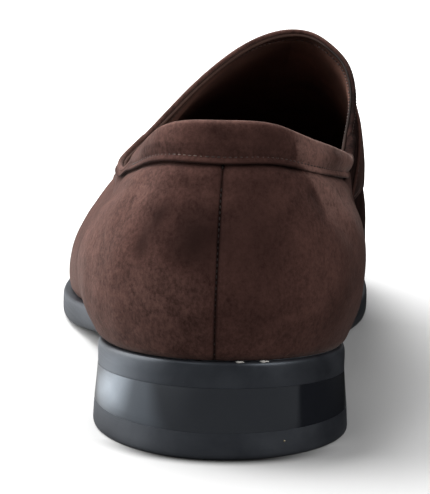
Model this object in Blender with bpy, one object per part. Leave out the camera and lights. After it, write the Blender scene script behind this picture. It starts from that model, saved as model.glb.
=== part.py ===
"""Left slip-on loafer in suede, standing empty on its heel and forefoot.

Every form is worked out on the last. Sizes in the tables are millimetres: "along" runs from the
heel's back to the toe, "across" from the heel's centre line towards the medial side, and "height"
up from the floor. A "turn" runs once round the shoe, 0 at the heel's back, 0.25 on the lateral
side, 0.5 at the toe and 0.75 on the medial side. A "climb" runs up the upper, 0 at the feather
line above the sole and 1 at the topline.
"""

import math

import bmesh
import bpy
import numpy as np
from mathutils import Vector
from mathutils.bvhtree import BVHTree

MM = 0.001

# Sole and heel
SOLE_LENGTH = 298.0
LATERAL_HEEL_ROUND = 46.0
MEDIAL_HEEL_ROUND = 40.0
TOE_ROUND = 54.0
SOLE_BEVEL = 0.7
HEEL_BREAST = 74.0
HEEL_FADE = 14.0
HEEL_FLARE = 1.2
TOP_PIECE_HEIGHT = 7.2
INSOLE_THICKNESS = 3.0

# Upper and what is sewn on it
UPPER_WALL = 2.2
BAND_THICKNESS = 1.3
BAND_END_TURN = 0.2125
STRAP_THICKNESS = 1.2
STRAP_SPINE_ACROSS = 6.0
STRAP_SPINE_HEIGHT = 48.0
STRAP_REAR = 131.0
STRAP_FRONT = 157.0
STRAP_REAR_SWEEP = 12.0
STRAP_FRONT_SWEEP = 6.0
STRAP_END_ANGLE = 86.0

# Clearances between pieces that are glued or sewn together
JOINT_GAP = 0.3
OVERLAY_GAP = 0.5

# The point of the last that stands at the origin: the middle of the shoe's box, on the floor
ORIGIN_ACROSS = -9.1
ORIGIN_ALONG = 147.6

# Facets
UPPER_TURNS = np.arange(80) / 80.0
UPPER_CLIMBS = np.linspace(0.0, 1.0, 17)
TIP_TURN = 0.006

# Colours
BLACK_RUBBER = (0.014, 0.014, 0.016)
BROWN_SUEDE = (0.050, 0.026, 0.021)
DARK_LINING = (0.022, 0.012, 0.009)


def table(columns, rows):
    """A short table as one array for each named column."""
    return dict(zip(columns.split(), np.array(rows, float).T))


# The outsole's edge on either side of the heel's centre line, and how far inside it the upper stands
SOLE_PLAN = table(
    "along lateral medial margin",
    [
        (0.0, -34.6, 34.0, 0.9),
        (40.0, -34.6, 34.0, 0.9),
        (75.0, -34.8, 31.8, 1.0),
        (110.0, -38.4, 28.2, 1.4),
        (145.0, -48.0, 31.4, 2.0),
        (173.0, -56.2, 37.6, 2.6),
        (190.0, -59.2, 40.6, 2.8),
        (207.0, -59.8, 41.6, 2.8),
        (232.0, -57.0, 40.6, 3.0),
        (262.0, -50.0, 37.6, 3.0),
        (298.0, -41.0, 34.0, 3.0),
    ],
)

# The outsole's side: heel pitch, arch, forefoot flat on the floor, toe spring
SOLE_SIDE = table(
    "along top bottom",
    [
        (0.0, 26.2, 19.2),
        (40.0, 23.6, 16.8),
        (75.0, 20.4, 13.6),
        (110.0, 16.2, 9.2),
        (145.0, 11.6, 3.8),
        (174.0, 8.8, 0.4),
        (186.0, 8.2, 0.0),
        (220.0, 8.2, 0.0),
        (240.0, 9.4, 1.1),
        (268.0, 12.8, 4.4),
        (298.0, 18.0, 9.6),
    ],
)

# The collar's edge, from the back over the lateral ankle to the tongue and back on the medial side
TOPLINE = table(
    "turn across along height",
    [
        (0.000, 1.0, 8.0, 89.2),
        (0.060, -14.0, 14.5, 86.9),
        (0.110, -23.6, 31.0, 77.7),
        (0.150, -28.2, 50.0, 70.1),
        (0.185, -29.3, 68.0, 70.9),
        (0.220, -23.8, 82.0, 76.9),
        (0.260, -15.2, 93.0, 85.8),
        (0.320, -6.0, 103.5, 93.8),
        (0.400, 4.4, 112.0, 100.4),
        (0.500, 16.5, 117.5, 103.3),
        (0.600, 26.6, 114.0, 100.4),
        (0.680, 33.9, 105.0, 93.2),
        (0.735, 35.6, 93.0, 85.8),
        (0.790, 34.4, 76.0, 77.2),
        (0.830, 33.2, 60.0, 73.6),
        (0.875, 30.8, 42.0, 77.4),
        (0.920, 23.4, 22.0, 82.9),
        (0.960, 13.0, 11.6, 88.2),
    ],
)

# The upper's profile: how it rises and bulges from the sole, how far it drops under the topline,
# how far it reaches there towards the feather line as a share of the way, and how it swells
PROFILE = table(
    "turn rise bulge drop share puff",
    [
        (0.00, 20.0, 7.0, 20.0, 0.30, 2.6),
        (0.08, 20.0, 10.5, 20.0, 0.30, 4.0),
        (0.16, 18.0, 10.5, 20.0, 0.30, 5.5),
        (0.22, 18.0, 9.5, 22.0, 0.28, 2.0),
        (0.28, 22.0, 7.0, 28.0, 0.36, 0.5),
        (0.35, 25.0, 5.0, 36.0, 0.46, 0.0),
        (0.42, 29.0, 5.0, 48.0, 0.50, 0.0),
        (0.50, 32.0, 5.0, 58.0, 0.50, 0.0),
        (0.58, 29.0, 5.0, 48.0, 0.50, 0.0),
        (0.65, 26.0, 5.0, 38.0, 0.46, 0.0),
        (0.71, 28.0, 5.0, 30.0, 0.42, 0.0),
        (0.77, 24.0, 7.5, 24.0, 0.38, 0.6),
        (0.84, 18.0, 8.0, 20.0, 0.30, 3.4),
        (0.92, 20.0, 8.0, 20.0, 0.30, 4.0),
    ],
)

# The quarter's swell, fullest at mid height and drawn in under the collar band
SWELL = table(
    "climb share",
    [
        (0.00, 0.00),
        (0.30, 0.60),
        (0.54, 1.00),
        (0.70, 0.84),
        (0.80, 0.42),
        (0.88, 0.10),
        (1.00, 0.00),
    ],
)

# The collar band's height from its medial to its lateral end, narrowest where the topline dips
BAND = table(
    "turn height",
    [
        (-0.2125, 6.4),
        (-0.150, 7.0),
        (-0.110, 8.5),
        (-0.080, 9.5),
        (-0.050, 10.8),
        (0.000, 11.8),
        (0.050, 10.8),
        (0.080, 9.0),
        (0.110, 6.0),
        (0.130, 4.4),
        (0.150, 3.8),
        (0.2125, 4.6),
    ],
)


def smooth(knots, values, at):
    """A cubic curve through the knots, with slopes taken from their neighbours."""
    slopes = np.gradient(values, knots)
    index = np.clip(np.searchsorted(knots, at, side="right") - 1, 0, len(knots) - 2)
    width = knots[index + 1] - knots[index]
    part = np.clip((at - knots[index]) / width, 0.0, 1.0)
    start, end = values[index], values[index + 1]
    bend_start, bend_end = slopes[index] * width, slopes[index + 1] * width
    lift = 3.0 * (end - start) - 2.0 * bend_start - bend_end
    close = bend_start + bend_end - 2.0 * (end - start)
    return start + part * (bend_start + part * (lift + part * close))


def look_along(rows, column, along):
    return smooth(rows["along"], rows[column], along)


def look_round(rows, column, turn):
    """A column of a table whose rows go once round the shoe."""
    knots, values = rows["turn"], rows[column]
    knots = np.concatenate([knots - 1.0, knots, knots + 1.0])
    return smooth(knots, np.tile(values, 3), np.mod(turn, 1.0))


def rounded_end(distance, round_length):
    """How full an outline is at a distance from its end, along an ellipse."""
    return np.sqrt(1.0 - np.clip(1.0 - distance / round_length, 0.0, 1.0) ** 2)


def sole_edge(turn):
    """The plan of the outsole's edge, as across and along."""
    along = SOLE_LENGTH * np.sin(math.pi * turn) ** 2
    side = -np.sign(np.sin(2.0 * math.pi * turn))
    heel_round = np.where(side < 0.0, LATERAL_HEEL_ROUND, MEDIAL_HEEL_ROUND)
    full = rounded_end(along, heel_round) * rounded_end(SOLE_LENGTH - along, TOE_ROUND)
    lateral, medial = look_along(SOLE_PLAN, "lateral", along), look_along(SOLE_PLAN, "medial", along)
    across = 0.5 * (medial + lateral) + side * full * 0.5 * (medial - lateral)
    return np.stack([across, along], axis=-1)


def outward(plan, turn):
    """The plan direction that points out of a closed outline."""
    step = 0.002
    run = plan(turn + step) - plan(turn - step)
    normal = np.stack([-run[..., 1], run[..., 0]], axis=-1)
    return normal / np.linalg.norm(normal, axis=-1, keepdims=True)


def inset(plan, turn, distance):
    return plan(turn) - outward(plan, turn) * np.asarray(distance)[..., None]


def feather_plan(turn):
    """Where the upper meets the sole, a margin inside the outsole's edge."""
    return inset(sole_edge, turn, look_along(SOLE_PLAN, "margin", sole_edge(turn)[..., 1]))


def topline_plan(turn):
    return np.stack([look_round(TOPLINE, name, turn) for name in ("across", "along")], axis=-1)


def sole_top(along):
    return look_along(SOLE_SIDE, "top", along)


def sole_bottom(along):
    return np.maximum(look_along(SOLE_SIDE, "bottom", along), 0.0)


def raised(plan, height):
    return np.concatenate([plan, np.asarray(height)[..., None]], axis=-1)


def upper_surface(turn, climb):
    """The outside of the upper: a cubic profile from the feather line to the topline."""
    turn, climb = np.broadcast_arrays(np.asarray(turn, float), np.asarray(climb, float))
    rise, bulge, drop, share, puff = (look_round(PROFILE, name, turn) for name in PROFILE if name != "turn")
    foot = feather_plan(turn)
    head = topline_plan(turn)
    out = outward(feather_plan, turn)
    low = sole_top(foot[..., 1]) + JOINT_GAP
    high = look_round(TOPLINE, "height", turn)
    points = [
        raised(foot, low),
        raised(foot + out * bulge[..., None], low + rise),
        raised(head + (foot - head) * share[..., None], high - drop),
        raised(head, high),
    ]
    left = 1.0 - climb
    weights = [left**3, 3.0 * left**2 * climb, 3.0 * left * climb**2, climb**3]
    skin = sum(point * weight[..., None] for point, weight in zip(points, weights))
    swell = puff * smooth(SWELL["climb"], SWELL["share"], climb)
    return skin + raised(out * swell[..., None], np.zeros_like(climb))


def upper_normal(turn, climb):
    """The way out of the upper, level at the feather line so that its rim lies flat on the sole."""
    step = 0.002
    high, low = np.minimum(climb + step, 1.0), np.maximum(climb - step, 0.0)
    up = upper_surface(turn, high) - upper_surface(turn, low)
    ahead = upper_surface(turn + step, climb) - upper_surface(turn - step, climb)
    normal = np.cross(up, ahead)
    normal /= np.linalg.norm(normal, axis=-1, keepdims=True)
    normal[..., 2] *= np.clip(climb / 0.08, 0.0, 1.0)
    return normal / np.linalg.norm(normal, axis=-1, keepdims=True)


def upper_offset(turn, climb, distance):
    """A point of the upper, moved out of its outside by a distance."""
    turn, climb = np.broadcast_arrays(np.asarray(turn, float), np.asarray(climb, float))
    return upper_surface(turn, climb) + upper_normal(turn, climb) * distance


def climb_below_topline(turn, distance):
    """The climb that lies a distance down the upper from its topline."""
    climbs = np.linspace(0.0, 1.0, 201)
    run = np.linalg.norm(np.diff(upper_surface(turn, climbs), axis=0), axis=1)
    below = np.concatenate([np.cumsum(run[::-1])[::-1], [0.0]])
    return np.interp(distance, below[::-1], climbs[::-1])


def material(name, colour, roughness):
    made = bpy.data.materials.new(name)
    made.use_nodes = True
    shader = made.node_tree.nodes["Principled BSDF"]
    shader.inputs["Base Color"].default_value = (*colour, 1.0)
    shader.inputs["Roughness"].default_value = roughness
    shader.inputs["Metallic"].default_value = 0.0
    return made


def turn_outwards(mesh):
    form = bmesh.new()
    form.from_mesh(mesh)
    bmesh.ops.recalc_face_normals(form, faces=form.faces)
    form.to_mesh(mesh)
    form.free()


def add_piece(name, sections, closed_round, colour, roughness):
    """A solid skinned over closed sections, which either run once round or end in flat caps."""
    sections = np.asarray(sections, float)
    count, points = sections.shape[:2]
    vertices = (sections.reshape(-1, 3) - (ORIGIN_ACROSS, ORIGIN_ALONG, 0.0)) * MM
    faces = []
    for i in range(count if closed_round else count - 1):
        here, there = i * points, (i + 1) % count * points
        for j in range(points):
            k = (j + 1) % points
            faces.append((here + j, here + k, there + k, there + j))
    if not closed_round:
        faces.append(tuple(range(points)))
        faces.append(tuple(range((count - 1) * points, count * points)))
    mesh = bpy.data.meshes.new(name)
    mesh.from_pydata(vertices.tolist(), [], faces)
    turn_outwards(mesh)
    mesh.shade_smooth()
    mesh.set_sharp_from_angle(angle=math.radians(40.0))
    mesh.materials.append(material(name, colour, roughness))
    piece = bpy.data.objects.new(name, mesh)
    bpy.context.scene.collection.objects.link(piece)


def layer(plan, turns, levels):
    """Sections across the shoe, each up its medial side and down its lateral one.

    Each level has a distance inside the plan, which may depend on the place along as its height does.
    """
    sections = []
    for turn in turns:
        medial, lateral = [], []
        for distance, height in levels:
            for side, points in ((1.0 - turn, medial), (turn, lateral)):
                reach = distance(plan(np.array(side))[1]) if callable(distance) else distance
                spot = inset(plan, np.array(side), reach)
                points.append((*spot, height(spot[1])))
        sections.append(medial + lateral[::-1])
    return sections


def turn_at(along):
    return math.asin(math.sqrt(along / SOLE_LENGTH)) / math.pi


def tread_round(along):
    """How far the sole's lower edge is rounded: hardly on the heel, fully in front of it."""
    return 0.12 + 0.88 * np.clip((along - HEEL_BREAST) / HEEL_FADE, 0.0, 1.0)


def add_outsole():
    turns = np.linspace(TIP_TURN, 0.5 - TIP_TURN, 62)
    levels = [
        (lambda along: 1.6 * tread_round(along), sole_bottom),
        (lambda along: 0.3 * tread_round(along), lambda along: sole_bottom(along) + 1.0),
        (0.0, lambda along: sole_bottom(along) + 2.2),
        (0.0, lambda along: sole_top(along) - 1.6),
        (SOLE_BEVEL, sole_top),
    ]
    add_piece("outsole", layer(sole_edge, turns, levels), False, BLACK_RUBBER, 0.35)


def add_heel():
    turns = np.linspace(TIP_TURN, turn_at(HEEL_BREAST), 21)
    foot = TOP_PIECE_HEIGHT + JOINT_GAP
    block = [
        (-0.72 * HEEL_FLARE, lambda along: foot),
        (-0.28 * HEEL_FLARE, lambda along: 0.5 * (foot + sole_bottom(along))),
        (0.16 * HEEL_FLARE, lambda along: sole_bottom(along) - JOINT_GAP),
    ]
    add_piece("heel_block", layer(sole_edge, turns, block), False, BLACK_RUBBER, 0.3)
    top_piece = [
        (-0.5 * HEEL_FLARE, lambda along: 0.0),
        (-HEEL_FLARE, lambda along: 0.8),
        (-0.75 * HEEL_FLARE, lambda along: TOP_PIECE_HEIGHT),
    ]
    add_piece("heel_top_piece", layer(sole_edge, turns, top_piece), False, BLACK_RUBBER, 0.5)


def add_insole():
    turns = np.linspace(0.015, 0.485, 48)
    edge = UPPER_WALL + 3.0 * JOINT_GAP
    seat = JOINT_GAP
    levels = [
        (edge, lambda along: sole_top(along) + seat),
        (edge, lambda along: sole_top(along) + seat + 0.6 * INSOLE_THICKNESS),
        (edge + 1.2, lambda along: sole_top(along) + seat + INSOLE_THICKNESS),
    ]
    add_piece("insole", layer(feather_plan, turns, levels), False, DARK_LINING, 0.7)


def add_upper():
    sections = []
    for turn in UPPER_TURNS:
        outside = upper_offset(turn, UPPER_CLIMBS, 0.0)
        inside = upper_offset(turn, UPPER_CLIMBS, -UPPER_WALL)
        sections.append(np.concatenate([outside, inside[::-1]]))
    add_piece("upper", sections, True, BROWN_SUEDE, 0.95)


def band_height(turn):
    """The collar band's height, by a turn that is negative on the medial side."""
    return smooth(BAND["turn"], BAND["height"], turn)


def add_collar_band():
    sections = []
    for turn in np.linspace(-BAND_END_TURN, BAND_END_TURN, 35):
        climbs = np.linspace(climb_below_topline(turn, band_height(turn)), 1.0, 5)
        outside = upper_offset(turn, climbs, OVERLAY_GAP + BAND_THICKNESS)
        inside = upper_offset(turn, climbs, OVERLAY_GAP)
        sections.append(np.concatenate([outside, inside[::-1]]))
    add_piece("collar_band", sections, False, BROWN_SUEDE, 0.95)


def offset_form(distance):
    """The upper's outside moved out by a distance, as a form that rays can meet."""
    grid = np.stack([upper_offset(UPPER_TURNS, climb, distance) for climb in UPPER_CLIMBS])
    count = len(UPPER_TURNS)
    faces = []
    for j in range(len(UPPER_CLIMBS) - 1):
        for i in range(count):
            k = (i + 1) % count
            faces.append((j * count + i, j * count + k, (j + 1) * count + k, (j + 1) * count + i))
    return BVHTree.FromPolygons([Vector(point) for point in grid.reshape(-1, 3)], faces)


def strap_point(form, angle, share):
    """Where a ray from the strap's spine meets a form, at an angle from upright.

    The share runs from the strap's rear edge to its front edge, which both sweep back at the sides.
    """
    lean = (angle / STRAP_END_ANGLE) ** 2
    rear = STRAP_REAR - STRAP_REAR_SWEEP * lean
    front = STRAP_FRONT - STRAP_FRONT_SWEEP * lean
    start = Vector((STRAP_SPINE_ACROSS, rear + (front - rear) * share, STRAP_SPINE_HEIGHT))
    slant = math.radians(angle)
    return form.ray_cast(start, Vector((math.sin(slant), 0.0, math.cos(slant))))[0]


def add_strap():
    under = offset_form(OVERLAY_GAP)
    over = offset_form(OVERLAY_GAP + STRAP_THICKNESS)
    shares = np.linspace(0.0, 1.0, 6)
    sections = []
    for angle in np.linspace(-STRAP_END_ANGLE, STRAP_END_ANGLE, 33):
        top = [strap_point(over, angle, share) for share in shares]
        foot = [strap_point(under, angle, share) for share in shares]
        sections.append([tuple(point) for point in top + foot[::-1]])
    add_piece("saddle_strap", sections, False, BROWN_SUEDE, 0.95)


def main():
    for piece in list(bpy.data.objects):
        bpy.data.objects.remove(piece)
    add_outsole()
    add_heel()
    add_insole()
    add_upper()
    add_collar_band()
    add_strap()


main()
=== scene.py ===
"""A left slip-on loafer in brown suede, dressed over its solids.

Shapes are worked out on the last, in millimetres: "along" runs from the heel's back to the toe, "across"
from the heel's centre line to the medial side and "height" up from the floor. A "turn" runs once round the
shoe, 0 at the heel's back, 0.25 on the lateral side, 0.5 at the toe and 0.75 on the medial side. A "rise"
is the way up the upper's skin from the sole, and "proud" is how far a point stands out of that skin.
"""

import math

import bmesh
import bpy
import numpy as np
from mathutils import Matrix, Vector
from mathutils.bvhtree import BVHTree


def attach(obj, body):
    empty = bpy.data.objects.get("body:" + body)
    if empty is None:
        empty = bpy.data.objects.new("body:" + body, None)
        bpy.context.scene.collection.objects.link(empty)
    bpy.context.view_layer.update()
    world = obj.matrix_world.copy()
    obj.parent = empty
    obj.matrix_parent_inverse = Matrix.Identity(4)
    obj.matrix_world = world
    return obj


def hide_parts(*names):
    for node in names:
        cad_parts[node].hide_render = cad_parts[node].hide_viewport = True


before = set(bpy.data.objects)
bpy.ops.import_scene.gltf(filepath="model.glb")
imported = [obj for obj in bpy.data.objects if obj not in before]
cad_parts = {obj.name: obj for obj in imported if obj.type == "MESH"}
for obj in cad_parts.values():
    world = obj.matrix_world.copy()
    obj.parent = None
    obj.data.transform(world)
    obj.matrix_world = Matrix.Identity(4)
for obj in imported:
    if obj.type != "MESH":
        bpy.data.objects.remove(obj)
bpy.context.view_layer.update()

bl_info = {
    "name": "Suede Loafer",
    "version": (1, 0, 0),
    "blender": (4, 5, 0),
    "location": "View3D > Sidebar > Loafer",
    "description": "Dresses the solids of a loafer with suede, stitches, lining and a black heel",
    "category": "Add Mesh",
}

MM = 0.001
BODY = "root"

# Sole and heel
SOLE_LENGTH = 298.0
LATERAL_HEEL_ROUND = 46.0
MEDIAL_HEEL_ROUND = 40.0
TOE_ROUND = 54.0
HEEL_BREAST = 74.0
HEEL_FADE = 14.0
HEEL_FLARE = 1.2
TOP_PIECE_HEIGHT = 7.2
INSOLE_THICKNESS = 3.0

# Upper and what is sewn on it
UPPER_WALL = 2.2
BAND_THICKNESS = 1.3
BAND_FLAP = 0.85
BAND_TUCK = 0.10
BAND_END_TURN = 0.2125
STRAP_TUCK = 0.15
STRAP_FOLD = 1.0
STRAP_SPINE_ACROSS = 6.0
STRAP_SPINE_HEIGHT = 48.0
STRAP_REAR = 131.0
STRAP_FRONT = 157.0
STRAP_REAR_SWEEP = 12.0
STRAP_FRONT_SWEEP = 6.0
STRAP_END_ANGLE = 86.0

JOINT_GAP = 0.3
HEEL_JOINT = 0.03
OVERLAY_GAP = 0.5
ORIGIN_ACROSS = -9.1
ORIGIN_ALONG = 147.6

# Places round the shoe, as signed turn and width: the lateral rim, which is pushed out a little, the upper's
# medial side, which painted shade darkens, and the lining's two sides, where painted light lightens its
# inside;
# then the turns from which the collar band changes, the last of them where painted shade darkens its medial
# end
RIM_PUSH = 1.5
RIM_PUSH_PLACE = (0.174, 0.032)
SHADED_FLANK_PLACE = (-0.26, 0.10)
LINING_MEDIAL_PLACE = (-0.31, 0.14)
LINING_LATERAL_PLACE = (0.28, 0.13)
BAND_LEAN_TURN = 0.05
BAND_SLIM_TURN = 0.06
BAND_FAR_TURN = 0.12
BAND_SHADED_TURN = 0.163

# How far a patch of brushed nap and painted light reaches off its middle, and how soft its border is
PATCH_REACH = 45.0
PATCH_BORDER = 1.4

# Edges and stitches: the skin's length for a turn at the band's ends, how far the lining's edge lies under
# the topline, how deep a stitch sits, how high it is in metres, and where the band's stitches are worn pale
BAND_RUN = 700.0
LINING_DROP = 0.45
STITCH_SINK = 0.02
STITCH_HEIGHT = 0.0005
WORN_STITCHES = (-12.0, -3.5)
WORN_ALONG = 60.0
RUBBER_SHARP = 32.0
TURN_STEP = 0.002

# The stage, in metres and degrees: each light's place, aim and sizes, and the camera's place, pan, tilt, roll
FLOOR_HALF = 3.0
FLOOR_STEPS = 12
LIGHTS = {
    "overhead": ((-0.45, 0.24, 1.22), (0.0, -0.05, 0.0), (0.9, 0.9)),
    "side": ((-0.80, 0.08, 0.36), (0.0, 0.02, 0.16), (0.9, 0.7)),
    "back": ((-0.55, -1.00, 1.00), (0.0, -0.08, 0.06), (0.5, 0.5)),
    "fill": ((0.72, -0.50, 0.50), (0.0, -0.08, 0.06), (0.5, 0.5)),
}
CAMERA_PLACE = (0.03963, -0.84693, 0.180)
CAMERA_TURNS = (-2.551, -9.971, 1.109)


def table(text):
    """A short table, headed by its columns' names, as one array for each column."""
    head, *rows = (line.split() for line in text.strip().splitlines())
    return dict(zip(head, np.array(rows, float).T))


# The outsole's edge on either side of the heel's centre line, and how far inside it the upper stands
SOLE_PLAN = table(
    """
    along lateral medial margin
    0.0 -34.6 34.0 0.9
    40.0 -34.6 34.0 0.9
    75.0 -34.8 31.8 1.0
    110.0 -38.4 28.2 1.4
    145.0 -48.0 31.4 2.0
    173.0 -56.2 37.6 2.6
    190.0 -59.2 40.6 2.8
    207.0 -59.8 41.6 2.8
    232.0 -57.0 40.6 3.0
    262.0 -50.0 37.6 3.0
    298.0 -41.0 34.0 3.0
    """
)

# The outsole's side: heel pitch, arch, forefoot flat on the floor, toe spring
SOLE_SIDE = table(
    """
    along top bottom
    0.0 26.2 19.2
    40.0 23.6 16.8
    75.0 20.4 13.6
    110.0 16.2 9.2
    145.0 11.6 3.8
    174.0 8.8 0.4
    186.0 8.2 0.0
    220.0 8.2 0.0
    240.0 9.4 1.1
    268.0 12.8 4.4
    298.0 18.0 9.6
    """
)

# The collar's edge, from the back over the lateral ankle to the tongue and back on the medial side
TOPLINE = table(
    """
    turn across along height
    0.000 1.0 8.0 89.2
    0.060 -14.0 14.5 86.9
    0.110 -23.6 31.0 77.7
    0.150 -28.2 50.0 70.1
    0.185 -29.3 68.0 70.9
    0.220 -23.8 82.0 76.9
    0.260 -15.2 93.0 85.8
    0.320 -6.0 103.5 93.8
    0.400 4.4 112.0 100.4
    0.500 16.5 117.5 103.3
    0.600 26.6 114.0 100.4
    0.680 33.9 105.0 93.2
    0.735 35.6 93.0 85.8
    0.790 34.4 76.0 77.2
    0.830 33.2 60.0 73.6
    0.875 30.8 42.0 77.4
    0.920 23.4 22.0 82.9
    0.960 13.0 11.6 88.2
    """
)

# The upper's profile: how it rises and bulges from the sole, how far it drops under the topline,
# how far it reaches there towards the feather line as a share of the way, and how it swells
PROFILE = table(
    """
    turn rise bulge drop share puff
    0.00 20.0 7.0 20.0 0.30 2.6
    0.08 20.0 10.5 20.0 0.30 4.0
    0.16 18.0 10.5 20.0 0.30 5.5
    0.22 18.0 9.5 22.0 0.28 2.0
    0.28 22.0 7.0 28.0 0.36 0.5
    0.35 25.0 5.0 36.0 0.46 0.0
    0.42 29.0 5.0 48.0 0.50 0.0
    0.50 32.0 5.0 58.0 0.50 0.0
    0.58 29.0 5.0 48.0 0.50 0.0
    0.65 26.0 5.0 38.0 0.46 0.0
    0.71 28.0 5.0 30.0 0.42 0.0
    0.77 24.0 7.5 24.0 0.38 0.6
    0.84 18.0 8.0 20.0 0.30 3.4
    0.92 20.0 8.0 20.0 0.30 4.0
    """
)

# The quarter's swell, fullest at mid height and drawn in under the collar band
SWELL = table(
    """
    climb share
    0.00 0.00
    0.30 0.60
    0.54 1.00
    0.70 0.84
    0.80 0.42
    0.88 0.10
    1.00 0.00
    """
)

# Soft troughs in the suede, each from one turn and climb to another
CREASES = table(
    """
    turn_from climb_from turn_to climb_to width depth
    0.050 0.84 0.092 0.46 4.5 0.50
    -0.058 0.84 -0.100 0.50 4.5 0.55
    0.024 0.62 0.060 0.50 6.0 0.28
    -0.030 0.44 -0.070 0.34 6.0 0.22
    0.130 0.70 0.150 0.40 6.0 0.35
    -0.150 0.66 -0.165 0.36 6.0 0.35
    0.395 0.46 0.450 0.53 4.0 0.30
    0.605 0.46 0.550 0.53 4.0 0.30
    0.370 0.56 0.420 0.62 4.5 0.25
    0.630 0.56 0.580 0.62 4.5 0.25
    """
)

# Patches of lighter and darker suede, partly the nap brushed up or down and partly painted light and painted
# shade where the lamps on either side fall on the counter, with the patch's sizes and lean on the skin, and
# how far from its middle a patch ends in a sharp border
NAP_AND_LIGHT_PATCHES = table(
    """
    turn climb wide tall lean amount border
    -0.078 0.795 5.0 11.0 -36.0 1.35 3.6
    -0.098 0.760 9.0 10.0 -36.0 0.80 10.5
    -0.075 0.665 2.2 4.0 -30.0 0.50 99.0
    -0.067 0.745 2.2 9.0 -36.0 -0.45 99.0
    -0.086 0.590 4.0 8.0 -15.0 -0.30 99.0
    -0.066 0.420 12.0 14.0 0.0 0.10 99.0
    -0.024 0.540 12.0 17.0 0.0 -0.32 99.0
    -0.082 0.230 5.0 9.0 0.0 -0.30 99.0
    -0.016 0.200 12.0 5.0 0.0 -0.12 99.0
    -0.074 0.950 7.5 8.0 -15.0 1.35 6.4
    -0.102 0.970 2.6 5.5 -15.0 -0.35 99.0
    -0.136 0.955 9.0 7.0 0.0 1.45 99.0
    -0.036 0.950 6.0 6.0 0.0 -0.30 99.0
    0.014 0.950 8.0 4.0 10.0 -0.20 99.0
    0.048 0.950 7.0 8.0 15.0 0.22 99.0
    0.082 0.950 6.0 9.0 0.0 -0.15 99.0
    0.122 0.950 10.0 8.0 0.0 -0.35 99.0
    0.066 0.745 9.0 7.0 15.0 0.38 99.0
    0.096 0.550 17.0 22.0 0.0 0.32 99.0
    0.050 0.180 17.0 11.0 0.0 0.40 99.0
    0.014 0.525 6.5 6.5 0.0 -0.60 99.0
    0.024 0.450 5.0 3.5 0.0 -0.22 99.0
    0.050 0.487 2.4 4.0 10.0 -0.62 99.0
    0.042 0.607 2.0 4.5 28.0 -0.62 99.0
    0.048 0.170 6.0 4.0 0.0 -0.25 99.0
    0.036 0.340 11.0 9.0 0.0 0.24 99.0
    """
)

# The collar band's height from its medial to its lateral end, narrowest where the topline dips
BAND = table(
    """
    turn height
    -0.2125 6.4
    -0.150 7.0
    -0.110 8.5
    -0.080 9.5
    -0.050 10.8
    0.000 11.8
    0.050 10.8
    0.080 9.0
    0.110 6.2
    0.130 3.7
    0.150 3.0
    0.2125 4.0
    """
)


def smooth(knots, values, at):
    """A cubic curve through the knots, with slopes taken from their neighbours."""
    slopes = np.gradient(values, knots)
    index = np.clip(np.searchsorted(knots, at, side="right") - 1, 0, len(knots) - 2)
    width = knots[index + 1] - knots[index]
    part = np.clip((at - knots[index]) / width, 0.0, 1.0)
    start, end = values[index], values[index + 1]
    bend_start, bend_end = slopes[index] * width, slopes[index + 1] * width
    lift = 3.0 * (end - start) - 2.0 * bend_start - bend_end
    close = bend_start + bend_end - 2.0 * (end - start)
    return start + part * (bend_start + part * (lift + part * close))


def look_along(rows, column, along):
    return smooth(rows["along"], rows[column], along)


def look_round(rows, column, turn):
    """A column of a table whose rows go once round the shoe."""
    knots, values = rows["turn"], rows[column]
    knots = np.concatenate([knots - 1.0, knots, knots + 1.0])
    return smooth(knots, np.tile(values, 3), np.mod(turn, 1.0))


def rounded_end(distance, round_length):
    """How full an outline is at a distance from its end, along an ellipse."""
    return np.sqrt(1.0 - np.clip(1.0 - distance / round_length, 0.0, 1.0) ** 2)


def sole_edge(turn):
    """The plan of the outsole's edge, as across and along."""
    along = SOLE_LENGTH * np.sin(math.pi * turn) ** 2
    side = -np.sign(np.sin(2.0 * math.pi * turn))
    heel_round = np.where(side < 0.0, LATERAL_HEEL_ROUND, MEDIAL_HEEL_ROUND)
    full = rounded_end(along, heel_round) * rounded_end(SOLE_LENGTH - along, TOE_ROUND)
    lateral, medial = look_along(SOLE_PLAN, "lateral", along), look_along(SOLE_PLAN, "medial", along)
    across = 0.5 * (medial + lateral) + side * full * 0.5 * (medial - lateral)
    return np.stack([across, along], axis=-1)


def unit(vectors):
    return vectors / np.linalg.norm(vectors, axis=-1, keepdims=True)


def run_along(points, axis=0):
    """The way along rows of points, from the first point on."""
    steps = np.linalg.norm(np.diff(points, axis=axis), axis=-1)
    return np.insert(np.cumsum(steps, axis=axis), 0, 0.0, axis=axis)


def join(count, *columns):
    """Columns side by side, each spread over all the rows."""
    return np.concatenate([np.broadcast_to(c, (count, np.shape(c)[-1])) for c in columns], axis=1)


def half_roll(steps):
    """Angles over a rolled edge, without its first and last one."""
    return np.linspace(0.0, math.pi, steps)[1:-1]


def outward(plan, turn):
    """The plan direction that points out of a closed outline."""
    run = plan(turn + TURN_STEP) - plan(turn - TURN_STEP)
    return unit(np.stack([-run[..., 1], run[..., 0]], axis=-1))


def inset(plan, turn, distance):
    return plan(turn) - outward(plan, turn) * np.asarray(distance)[..., None]


def feather_plan(turn):
    """Where the upper meets the sole, a margin inside the outsole's edge."""
    return inset(sole_edge, turn, look_along(SOLE_PLAN, "margin", sole_edge(turn)[..., 1]))


def topline_plan(turn):
    return np.stack([look_round(TOPLINE, name, turn) for name in ("across", "along")], axis=-1)


def sole_top(along):
    return look_along(SOLE_SIDE, "top", along)


def sole_bottom(along):
    return np.maximum(look_along(SOLE_SIDE, "bottom", along), 0.0)


def raised(plan, height):
    return np.concatenate([plan, np.asarray(height)[..., None]], axis=-1)


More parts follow.
